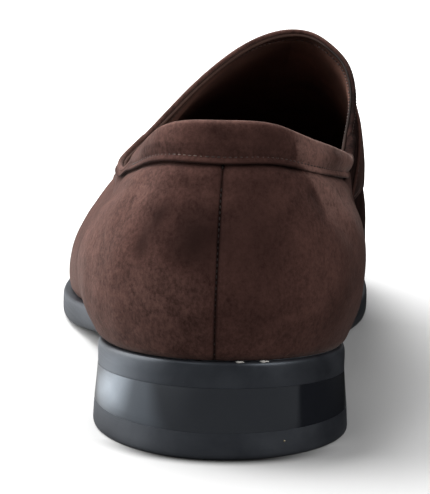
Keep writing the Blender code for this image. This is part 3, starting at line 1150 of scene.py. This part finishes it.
class Band:
    """The collar band's section on some turns, by how far up from its lower edge a point lies."""

    def __init__(self, turns, sizes):
        self.sizes = sizes
        self.skin = Skin(turns)
        end = (BAND_END_TURN - np.abs(turns)) * BAND_RUN
        high = band_height(turns)
        self.height = (high - corner_cut(end, 0.6 * high))[:, None]
        self.margin = np.minimum(sizes.stitch_margin / MM, 0.45 * self.height)
        self.fill = end_fill(end, 1.3)[:, None]
        lateral, far = ease((turns - BAND_SLIM_TURN) / 0.05), ease((turns - BAND_FAR_TURN) / 0.04)
        medial = ease((-turns - BAND_FAR_TURN) / 0.07)
        self.slim = (1.0 - 0.50 * lateral - 0.25 * far - 0.25 * medial)[:, None]
        self.lean = (ease((turns - BAND_LEAN_TURN) / 0.05) - 0.4 * far)[:, None]
        self.foot = self.skin.length[:, None] - self.height

    def top(self, up):
        """How proud the band's outside is, at distances up from its lower edge."""
        sizes, margin = self.sizes, self.margin
        thick = (OVERLAY_GAP + BAND_THICKNESS - BAND_FLAP) * ease((up - margin) / 3.5)
        crown = np.clip((up - margin) / np.maximum(self.height - margin - 0.6, 1.0), 0.0, 1.0)
        puff = sizes.band_puff / MM * np.sin(math.pi * crown) ** 0.75
        channel = sizes.band_channel / MM * bump(up - margin, 0.55)
        base, _ = self.skin.place(self.foot + up)
        beat = np.cos(2.0 * math.pi * run_along(base[:, 0]) / (sizes.stitch_pitch / MM))[:, None]
        pinch = 0.10 * beat * bump(up - margin, 1.1)
        wave = 0.26 * ripple(base, 24.0, 21) + 0.12 * ripple(base, 9.0, 22)
        body = self.slim * (thick + puff + wave * ease((up - 0.6 * margin) / 4.0))
        leaning = self.lean * ease((up - self.height + 8.0) / 7.0)
        return self.fill * (BAND_FLAP + body - leaning - channel + pinch)


class LOAFER_OT_collar_band(bpy.types.Operator):
    """Folded band round the collar, sewn near its lower edge and turned over the topline"""

    bl_idname = "loafer.collar_band"
    bl_label = "Collar band"

    def execute(self, context):
        sizes = context.scene.loafer_sizes
        turns = band_turns()
        count = len(turns)
        band = Band(turns, sizes)
        high, fill = band.height, band.fill
        edge_in, edge_up = folded_edge(0.5 * (BAND_FLAP - BAND_TUCK))
        start = edge_in[-1]
        roll = np.minimum(1.35, 0.35 * high)
        room = high - roll - start
        close = np.minimum(1.0, room / 4.5)
        near = np.array([0.25, 0.5, 0.8, 1.1, 1.4, 1.7, 2.0, 2.3, 2.6, 3.0])
        far = 3.0 * close + np.linspace(0.0, 1.0, 17)[1:] * (room - 3.0 * close)
        sheet = start + join(count, near * close, far)
        sheet_proud = band.top(sheet)
        outer, inner = sheet_proud[:, -1:], -sizes.suede / MM * fill
        bend = half_roll(13)
        roll_up = high - roll + roll * np.sin(bend)
        roll_proud = 0.5 * (outer + inner) + 0.5 * (outer - inner) * np.cos(bend)
        up = join(count, edge_in, sheet, roll_up, high - roll, high - roll - 0.2, 0.5 * high, 0.25 * high)
        tuck = BAND_TUCK * fill
        proud = join(count, tuck + fill * edge_up, sheet_proud, roll_proud, inner, [0.06], tuck, tuck)
        base, normal = band.skin.place(band.foot + np.minimum(up, high))
        # Painted highlight on the band's top roll and painted shade along its lower edge; beyond the last
        # turn, painted shade darkens the medial end
        nap = nap_and_light_patches(base) + 0.45 * bump(high - up, 1.6) - 0.7 * bump(up, 0.45)
        nap -= 1.8 * ease((-turns[:, None] - BAND_SHADED_TURN) / 0.02)
        add_suede("collar_band_suede", base + normal * proud[..., None], False, "collar_band", nap)
        return {"FINISHED"}


class Strap:
    """The saddle strap's section at some angles round its spine, by the way from its rear edge."""

    def __init__(self, sizes):
        self.sizes = sizes
        near = np.array([0.0, 0.15, 0.35, 0.6, 0.9, 1.3, 1.8, 2.5])
        middle = np.linspace(-STRAP_END_ANGLE + 3.4, STRAP_END_ANGLE - 3.4, 190)
        self.angles = np.concatenate([-STRAP_END_ANGLE + near, middle, STRAP_END_ANGLE - near[::-1]])
        form = self.skin_form()
        shares = np.linspace(0.0, 1.0, 41)
        self.base = np.array([[self.meet(form, angle, share) for share in shares] for angle in self.angles])
        self.normal = unit(np.cross(np.gradient(self.base, axis=0), np.gradient(self.base, axis=1)))
        out = self.base - np.array([STRAP_SPINE_ACROSS, 0.0, STRAP_SPINE_HEIGHT])
        out[..., 1] = 0.0
        self.normal *= np.sign((self.normal * out).sum(-1, keepdims=True))
        self.across = run_along(self.base, 1)
        self.width = self.across[:, -1:]
        run = run_along(self.base[:, 20])
        self.run = run[:, None]
        self.end = np.minimum(run, run[-1] - run)[:, None]

    @staticmethod
    def skin_form():
        turns = np.linspace(0.2, 0.8, 260)
        climbs = np.linspace(0.0, 1.0, 150)
        grid = upper_surface(turns[:, None], climbs)
        spot = np.arange(len(turns) - 1)[:, None] * len(climbs) + np.arange(len(climbs) - 1)
        faces = np.stack([spot, spot + 1, spot + 1 + len(climbs), spot + len(climbs)], axis=-1).reshape(-1, 4)
        return BVHTree.FromPolygons([Vector(p) for p in grid.reshape(-1, 3)], faces.tolist())

    @staticmethod
    def meet(form, angle, share):
        lean = (angle / STRAP_END_ANGLE) ** 2
        rear = STRAP_REAR - STRAP_REAR_SWEEP * lean
        front = STRAP_FRONT - STRAP_FRONT_SWEEP * lean
        start = Vector((STRAP_SPINE_ACROSS, rear + (front - rear) * share, STRAP_SPINE_HEIGHT))
        slant = math.radians(angle)
        spot = form.ray_cast(start, Vector((math.sin(slant), 0.0, math.cos(slant))))[0]
        if spot is None:
            raise RuntimeError("the saddle strap misses the upper")
        return tuple(spot)

    def place(self, way):
        """Base points and outward directions at ways from the rear edge, one row for each angle."""

        def pick(grid):
            rows = zip(way, self.across, grid)
            return np.array([[np.interp(w, across, axis) for axis in row.T] for w, across, row in rows])

        base, normal = (np.moveaxis(pick(grid), 1, 2) for grid in (self.base, self.normal))
        return base, unit(normal)

    def top(self, way):
        """How proud the strap's outside is, at ways from its rear edge."""
        sizes = self.sizes
        margin = sizes.stitch_margin / MM
        edge = np.minimum(way, self.width - way)
        inner = np.minimum(edge, self.end)
        puff = sizes.strap_puff / MM * ease((inner - margin) / 6.0)
        channel = 0.25 * bump(inner - margin, 0.5)
        base, _ = self.place(way)
        beat = np.cos(2.0 * math.pi * self.run / (sizes.stitch_pitch / MM))
        pinch = 0.07 * beat * bump(edge - margin, 1.0)
        wave = 0.14 * ripple(base, 20.0, 31) * ease(inner / 4.0)
        return end_fill(self.end, 0.9) * (STRAP_TUCK + STRAP_FOLD + puff - channel + pinch + wave)


class LOAFER_OT_saddle_strap(bpy.types.Operator):
    """Strap over the instep with folded edges and blunt sewn ends"""

    bl_idname = "loafer.saddle_strap"
    bl_label = "Saddle strap"

    def execute(self, context):
        strap = Strap(context.scene.loafer_sizes)
        count = len(strap.angles)
        fill = end_fill(strap.end, 0.9)
        corner = corner_cut(strap.end, 2.0)
        edge_in, edge_up = folded_edge(0.5 * STRAP_FOLD)
        rear_way, front_way = corner + edge_in, strap.width - corner - edge_in[::-1]
        rear_proud = fill * (STRAP_TUCK + edge_up)
        near = np.array([0.3, 0.6, 0.9, 1.2, 1.5, 1.9, 2.4, 3.0])
        start, stop, last = rear_way[:, -1:], front_way[:, :1], front_way[:, -1:]
        middle = start + 3.0 + np.linspace(0.0, 1.0, 16)[1:-1] * (stop - start - 6.0)
        sheet = join(count, start + near, middle, stop - near[::-1])
        under_way = last * (0.7, 0.3) + start * (0.3, 0.7)
        under_proud = np.broadcast_to(0.2 * fill, (count, 2))
        way = join(count, rear_way, sheet, front_way, under_way)
        proud = join(count, rear_proud, strap.top(sheet), rear_proud[:, ::-1], under_proud)
        base, normal = strap.place(way)
        edge = np.minimum(way, strap.width - way)
        # Lighter along the folded edges and ends, with a soft unevenness; painted shade darkens the medial
        # end
        nap = 0.3 * bump(np.minimum(edge, strap.end), 1.2) + 0.2 * ripple(base, 30.0, 41)
        nap -= 0.8 * ease((strap.angles[:, None] - 35.0) / 30.0)
        add_suede("saddle_strap_suede", base + normal * proud[..., None], False, "saddle_strap", nap)
        return {"FINISHED"}


def turn_at(along):
    return math.asin(math.sqrt(along / SOLE_LENGTH)) / math.pi


def layer(turns, levels):
    """Sections across the sole, each up its medial side and down its lateral one.

    Each level has a distance inside the sole's edge, which may depend on the place along as its height does.
    """
    rings = []
    for side in (1.0 - turns, turns):
        column = []
        for distance, height in levels:
            reach = distance(sole_edge(side)[:, 1]) if callable(distance) else distance
            spot = inset(sole_edge, side, np.broadcast_to(reach, len(turns)))
            column.append(raised(spot, np.broadcast_to(height(spot[:, 1]), len(turns))))
        rings.append(np.stack(column, axis=1))
    return np.concatenate([rings[0], rings[1][:, ::-1]], axis=1)


def tip_turns(first, last, count, both):
    """Turns from a rounded tip on, closer together at the tip."""
    ends = np.array([0.0004, 0.0009, 0.0015, 0.0022])
    middle = np.linspace(first, last - (first if both else 0.0), count)
    return np.concatenate([ends, middle, last - ends[::-1]]) if both else np.concatenate([ends, middle])


def tread_round(along):
    """How far the sole's lower edge is rounded: hardly on the heel, fully in front of it."""
    return 0.02 + 0.98 * np.clip((along - HEEL_BREAST) / HEEL_FADE, 0.0, 1.0)


class LOAFER_OT_sole(bpy.types.Operator):
    """Outsole with its trimmed edge, heel block and top piece"""

    bl_idname = "loafer.sole"
    bl_label = "Sole and heel"

    def execute(self, context):
        self.add_outsole()
        self.add_heel()
        return {"FINISHED"}

    @staticmethod
    def add_outsole():
        def above(lift):
            return lambda along: sole_bottom(along) + lift

        def below(drop):
            return lambda along: sole_top(along) - drop

        def between(share):
            def height(along):
                room = sole_top(along) - sole_bottom(along) - 4.2
                return sole_bottom(along) + 2.2 + share * room

            return height

        def lower(distance):
            return lambda along: distance * tread_round(along)

        foot = ((1.9, 0.0), (1.4, 0.05), (0.8, 0.35), (0.35, 0.85), (0.1, 1.5))
        head = ((0.0, 2.0), (0.03, 1.3), (0.10, 0.85), (0.22, 0.52), (0.40, 0.26), (0.62, 0.08), (0.90, 0.01))
        levels = [(lower(inside), above(lift)) for inside, lift in foot]
        levels += [(0.0, above(2.2)), (-0.04, between(0.35)), (-0.04, between(0.7))]
        levels += [(inside, below(drop)) for inside, drop in (*head, (1.2, 0.0))]
        rings = layer(tip_turns(0.0030, 0.5, 260, True), levels)
        material = rubber_material("sole_rubber", 0.32, 0.46, 1.0)
        add_piece("outsole_rubber", rings, False, material, "outsole", RUBBER_SHARP)

    @staticmethod
    def add_heel():
        foot = TOP_PIECE_HEIGHT + HEEL_JOINT
        turns = tip_turns(0.0030, turn_at(HEEL_BREAST), 110, False)

        def out(share):
            return HEEL_FLARE * float(np.interp(share, (0.0, 0.5, 1.0), (-0.72, -0.34, -0.02)))

        def at(share):
            return lambda along: foot + share * (sole_bottom(along) - HEEL_JOINT - foot)

        def flat(height):
            return lambda along: height

        block = layer(turns, [(out(share), at(share)) for share in (0.0, 0.2, 0.4, 0.6, 0.8, 1.0)])
        material = rubber_material("heel_rubber", 0.06, 0.13, 0.10, 0.5)
        add_piece("heel_block_rubber", block, False, material, "heel_block", RUBBER_SHARP)
        side = ((0.2, 0.0), (0.52, 0.10), (0.8, 0.38), (0.96, 0.8), (1.0, 1.4), (0.92, 3.0), (0.83, 5.0))
        levels = [(-share * HEEL_FLARE, flat(height)) for share, height in (*side, (0.72, TOP_PIECE_HEIGHT))]
        material = rubber_material("top_piece_rubber", 0.42, 0.56, 1.0)
        name, node, slot = "heel_top_piece_rubber", "heel_top_piece", "black_top_piece"
        add_piece(name, layer(turns, levels), False, material, node, RUBBER_SHARP)


def thread_tree():
    """Geometry nodes that lay stitches end to end along paths, which hold the way out of the surface."""
    name = "thread_row"
    if name in bpy.data.node_groups:
        return bpy.data.node_groups[name]
    tree = bpy.data.node_groups.new(name, "GeometryNodeTree")
    kinds = {"Paths": "Geometry", "Pitch": "Float", "Length": "Float", "Width": "Float", "Height": "Float"}
    for label, kind in {**kinds, "Thread": "Material"}.items():
        tree.interface.new_socket(label, in_out="INPUT", socket_type="NodeSocket" + kind)
    tree.interface.new_socket("Stitches", in_out="OUTPUT", socket_type="NodeSocketGeometry")
    w = Wiring(tree)
    given = w.node("NodeGroupInput").outputs
    curve = w.out("GeometryNodeMeshToCurve", {0: given["Paths"]})
    spots = w.out("GeometryNodeResampleCurve", {"Curve": curve, "Length": given["Pitch"]}, mode="LENGTH")
    named = w.node("GeometryNodeInputNamedAttribute", {"Name": "lift"}, data_type="FLOAT_VECTOR")
    lift = {"Vector": named.outputs["Attribute"]}
    upright = w.out("FunctionNodeAlignRotationToVector", lift, axis="Z")
    tangent = {"Rotation": upright, "Vector": w.out("GeometryNodeInputTangent")}
    laid = w.out("FunctionNodeAlignRotationToVector", tangent, axis="X", pivot_axis="Z")
    bead = w.out("GeometryNodeMeshUVSphere", {"Segments": 8, "Rings": 5, "Radius": 0.5}, "Mesh")
    measures = {0: given["Length"], 1: given["Width"], 2: given["Height"]}
    stitch_size = w.out("ShaderNodeCombineXYZ", measures)
    stitch = w.out("GeometryNodeTransform", {"Geometry": bead, "Scale": stitch_size})
    spread = {0: (0.82, 0.85, 0.8), 1: (1.08, 1.1, 1.15), "Seed": 4}
    vary = w.out("FunctionNodeRandomValue", spread, data_type="FLOAT_VECTOR")
    placed = {"Points": spots, "Instance": stitch, "Rotation": laid, "Scale": vary}
    rows = w.out("GeometryNodeInstanceOnPoints", placed)
    whole = w.out("GeometryNodeRealizeInstances", {"Geometry": rows})
    round_off = w.out("GeometryNodeSetShadeSmooth", {"Geometry": whole})
    dyed = w.out("GeometryNodeSetMaterial", {"Geometry": round_off, "Material": given["Thread"]})
    w.node("NodeGroupOutput", {"Stitches": dyed})
    return tree


def add_stitches(name, paths, material, sizes):
    """Stitches along paths, each a pair of points on the surface and ways out of it."""
    points, lifts, edges = [], [], []
    for path, lift in paths:
        start = len(points)
        points.extend(to_world(path).tolist())
        lifts.extend(np.asarray(lift, float).tolist())
        edges.extend((start + i, start + i + 1) for i in range(len(path) - 1))
    mesh = bpy.data.meshes.new(name)
    mesh.from_pydata(points, edges, [])
    flat = np.array(lifts, np.float32).ravel()
    mesh.attributes.new("lift", "FLOAT_VECTOR", "POINT").data.foreach_set("vector", flat)
    piece = bpy.data.objects.new(name, mesh)
    bpy.context.scene.collection.objects.link(piece)
    tree = thread_tree()
    sockets = {item.name: item.identifier for item in tree.interface.items_tree if item.in_out == "INPUT"}
    rows = piece.modifiers.new("rows", "NODES")
    rows.node_group = tree
    values = {"Pitch": sizes.stitch_pitch, "Length": sizes.stitch_length, "Width": sizes.stitch_width}
    for label, value in {**values, "Height": STITCH_HEIGHT, "Thread": material}.items():
        rows[sockets[label]] = value
    piece.update_tag()
    bpy.context.view_layer.update()
    depsgraph = bpy.context.evaluated_depsgraph_get()
    made = bpy.data.meshes.new_from_object(piece.evaluated_get(depsgraph))
    if not made.polygons:
        raise RuntimeError(f"{name} has no stitches")
    piece.modifiers.clear()
    piece.data = made
    made.name = name
    return settle(piece, None)


class LOAFER_OT_stitches(bpy.types.Operator):
    """Stitch rows on the collar band, inside and outside the tongue's edge, on the strap and in the seam"""

    bl_idname = "loafer.stitches"
    bl_label = "Stitches"

    def execute(self, context):
        sizes = context.scene.loafer_sizes
        looks = context.scene.loafer_finish
        thread = thread_material("brown_thread", looks.thread)
        dark = thread_material("dark_thread", np.array(looks.thread) * 0.4)
        worn = thread_material("worn_thread", looks.worn_thread)
        path, lift = self.band_row(sizes)
        across, along, _ = path.T
        pale = (across > WORN_STITCHES[0]) & (across < WORN_STITCHES[1]) & (along < WORN_ALONG)
        first, last = np.flatnonzero(pale)[[0, -1]]
        rows = [(path[:first], lift[:first]), (path[last + 1 :], lift[last + 1 :])]
        add_stitches("band_stitches", rows, thread, sizes)
        add_stitches("worn_stitches", [(path[pale], lift[pale])], worn, sizes)
        add_stitches("rim_stitches", self.rim_rows(sizes), thread, sizes)
        add_stitches("strap_stitches", self.strap_rows(sizes), thread, sizes)
        add_stitches("seam_stitches", [self.seam_row(sizes)], dark, sizes)
        return {"FINISHED"}

    @staticmethod
    def band_row(sizes):
        turns = np.linspace(-BAND_END_TURN + 0.004, BAND_END_TURN - 0.004, 400)
        band = Band(turns, sizes)
        up = band.margin
        base, normal = band.skin.place(band.foot + up)
        return (base + normal * (band.top(up) - STITCH_SINK)[..., None])[:, 0], normal[:, 0]

    @staticmethod
    def rim_rows(sizes):
        margin = sizes.rim_margin / MM
        turns = np.linspace(0.0, 1.0, 700, endpoint=False)
        skin = Skin(turns)
        base, normal = skin.place((skin.length - LINING_DROP - margin)[:, None])
        inside = base + normal * (-UPPER_WALL + 0.20)
        rows = [(inside[:, 0], -normal[:, 0])]
        free = (turns > BAND_END_TURN + 0.004) & (turns < 1.0 - BAND_END_TURN - 0.004)
        rows.append(((base + normal * STITCH_SINK)[free, 0], normal[free, 0]))
        return rows

    @staticmethod
    def strap_rows(sizes):
        strap = Strap(sizes)
        margin = sizes.stitch_margin / MM
        keep = strap.end[:, 0] > margin

        def laid(way):
            base, normal = strap.place(way)
            return base + normal * (strap.top(way) - STITCH_SINK)[..., None], normal

        rows = []
        for way in (np.full_like(strap.width, margin), strap.width - margin):
            path, normal = laid(way)
            rows.append((path[keep, 0], normal[keep, 0]))
        path, normal = laid(np.linspace(0.0, 1.0, 60) * (strap.width - 2.0 * margin) + margin)
        rows.extend((path[end], normal[end]) for end in np.flatnonzero(keep)[[0, -1]])
        return rows

    @staticmethod
    def seam_row(sizes):
        skin = Skin(np.array([0.0]))
        rise = np.linspace(2.0, skin.length[0] - float(band_height(0.0)) - 0.5, 120)[None, :]
        base, normal = skin.place(rise)
        return (base - normal * (1.05 * sizes.seam_depth / MM))[0], normal[0]


def blob(centre, reach, seed):
    """A small uneven lump, as points and faces."""
    form = bmesh.new()
    bmesh.ops.create_icosphere(form, subdivisions=2, radius=1.0)
    points = np.array([v.co for v in form.verts])
    faces = [[v.index for v in f.verts] for f in form.faces]
    form.free()
    points = points * (1.0 + 0.35 * ripple(points, 1.6, seed))[:, None] * np.asarray(reach)
    return points + np.asarray(centre), faces


def add_lumps(name, lumps, material):
    points, faces = [], []
    for spots, quads in lumps:
        start = len(points)
        points.extend(spots.tolist())
        faces.extend([[start + i for i in quad] for quad in quads])
    mesh = bpy.data.meshes.new(name)
    mesh.from_pydata(to_world(points).tolist(), [], faces)
    return finish_piece(name, mesh, material, None)


class LOAFER_OT_specks(bpy.types.Operator):
    """Dried glue at the sole's joint and a grain of dirt on the heel"""

    bl_idname = "loafer.specks"
    bl_label = "Specks"

    def execute(self, context):
        looks = context.scene.loafer_finish
        lumps = []
        specks = ((-0.0165, 1.15, 0.28), (-0.0320, 0.9, 0.30), (-0.0350, 0.45, 0.18))
        for seed, (turn, wide, tall) in enumerate(specks, 1):
            spot = inset(sole_edge, np.array(turn), 0.72)
            lumps.append(blob((*spot, float(sole_top(spot[1])) + 0.05), (wide, 0.30, tall), seed))
        add_lumps("glue_specks", lumps, speck_material("dried_glue", looks.glue))
        spot = inset(sole_edge, np.array(-0.0455), -0.95 * HEEL_FLARE)
        lumps = [blob((*spot, 4.4), (0.32, 0.16, 0.28), 4)]
        add_lumps("heel_grain", lumps, speck_material("dirt_grain", looks.dirt))
        return {"FINISHED"}


class LOAFER_OT_stage(bpy.types.Operator):
    """Pale floor, soft light and the camera behind the heel"""

    bl_idname = "loafer.stage"
    bl_label = "Stage"

    def execute(self, context):
        stage = context.scene.loafer_stage
        self.add_floor(stage)
        self.add_world(stage)
        for name, (place, aim, sizes) in LIGHTS.items():
            self.add_light(name + "_light", place, aim, sizes, getattr(stage, name))
        self.add_camera(stage)
        context.scene.view_settings.view_transform = "Standard"
        return {"FINISHED"}

    @staticmethod
    def add_floor(stage):
        line = np.linspace(-FLOOR_HALF, FLOOR_HALF, FLOOR_STEPS + 1)
        points = [(x, y, 0.0) for y in line for x in line]
        wide = FLOOR_STEPS + 1
        corners = [j * wide + i for j in range(FLOOR_STEPS) for i in range(FLOOR_STEPS)]
        mesh = bpy.data.meshes.new("floor")
        mesh.from_pydata(points, [], [(c, c + 1, c + wide + 1, c + wide) for c in corners])
        mesh.materials.append(floor_material(stage))
        floor = bpy.data.objects.new("floor", mesh)
        bpy.context.scene.collection.objects.link(floor)

    @staticmethod
    def add_world(stage):
        world = bpy.data.worlds.new("soft_room")
        world.use_nodes = True
        bpy.context.scene.world = world
        w = Wiring(world.node_tree)
        way = w.out("ShaderNodeTexCoord", None, "Generated")

        def towards(*aim):
            return w.out("ShaderNodeVectorMath", {0: way, 1: aim}, "Value", operation="DOT_PRODUCT")

        low = w.fit(w.out("ShaderNodeSeparateXYZ", {0: way}, "X"), -0.2, 0.6, 0.17, 0.03)
        above = w.times(w.math("MAXIMUM", towards(-0.42, -0.34, 0.84), 0.0), 0.36)
        # Painted reflection: brighter towards the lateral side and the toe, seen only in glossy reflections
        ahead = w.fit(towards(-0.8, 0.6, 0.0), 0.3, 0.9, 0.0, 0.2 * stage.mirrored)
        glossy = w.out("ShaderNodeLightPath", None, "Is Glossy Ray")
        glow = w.plus(low, above, w.times(glossy, ahead))
        w.feed(world.node_tree.nodes["Background"], {"Color": glow, "Strength": stage.ambient})

    @staticmethod
    def add_light(name, place, aim, sizes, power):
        data = bpy.data.lights.new(name, "AREA")
        data.shape = "RECTANGLE"
        data.size, data.size_y = sizes
        data.energy = power
        lamp = bpy.data.objects.new(name, data)
        lamp.location = place
        lamp.rotation_euler = (Vector(aim) - Vector(place)).to_track_quat("-Z", "Y").to_euler()
        bpy.context.scene.collection.objects.link(lamp)

    @staticmethod
    def add_camera(stage):
        pan, tilt, roll = (math.radians(angle) for angle in CAMERA_TURNS)
        ahead = Vector((math.sin(pan) * math.cos(tilt), math.cos(pan) * math.cos(tilt), math.sin(tilt)))
        right = Vector((math.cos(pan), -math.sin(pan), 0.0))
        up = right.cross(ahead)
        side = right * math.cos(roll) + up * math.sin(roll)
        top = up * math.cos(roll) - right * math.sin(roll)
        data = bpy.data.cameras.new("camera")
        data.lens = stage.lens
        data.sensor_width = 36.0
        data.clip_start, data.clip_end = 0.01, 50.0
        camera = bpy.data.objects.new("camera", data)
        columns = ((*side, 0.0), (*top, 0.0), (*-ahead, 0.0), (*CAMERA_PLACE, 1.0))
        camera.matrix_world = Matrix(columns).transposed()
        bpy.context.scene.collection.objects.link(camera)
        bpy.context.scene.camera = camera


class LOAFER_PT_sidebar(bpy.types.Panel):
    """The loafer's sizes, colours and pieces"""

    bl_idname = "LOAFER_PT_sidebar"
    bl_label = "Suede Loafer"
    bl_space_type = "VIEW_3D"
    bl_region_type = "UI"
    bl_category = "Loafer"

    def draw(self, context):
        layout = self.layout
        scene = context.scene
        for group in (scene.loafer_sizes, scene.loafer_finish, scene.loafer_stage):
            column = layout.column(align=True)
            for name in group.__annotations__:
                column.prop(group, name)
        for operator in OPERATORS:
            layout.operator(operator.bl_idname)


OPERATORS = (
    LOAFER_OT_stage,
    LOAFER_OT_upper,
    LOAFER_OT_lining,
    LOAFER_OT_collar_band,
    LOAFER_OT_saddle_strap,
    LOAFER_OT_sole,
    LOAFER_OT_stitches,
    LOAFER_OT_specks,
)
GROUPS = (LoaferSizes, LoaferFinish, LoaferStage)


def register():
    for entry in (*GROUPS, *OPERATORS, LOAFER_PT_sidebar):
        bpy.utils.register_class(entry)
    bpy.types.Scene.loafer_sizes = bpy.props.PointerProperty(type=LoaferSizes)
    bpy.types.Scene.loafer_finish = bpy.props.PointerProperty(type=LoaferFinish)
    bpy.types.Scene.loafer_stage = bpy.props.PointerProperty(type=LoaferStage)


def unregister():
    for name in ("loafer_sizes", "loafer_finish", "loafer_stage"):
        delattr(bpy.types.Scene, name)
    for entry in reversed((*GROUPS, *OPERATORS, LOAFER_PT_sidebar)):
        bpy.utils.unregister_class(entry)


def main():
    register()
    bpy.ops.loafer.stage()
    bpy.ops.loafer.upper()
    bpy.ops.loafer.lining()
    bpy.ops.loafer.collar_band()
    bpy.ops.loafer.saddle_strap()
    bpy.ops.loafer.sole()
    bpy.ops.loafer.stitches()
    bpy.ops.loafer.specks()


if __name__ == "__main__":
    main()
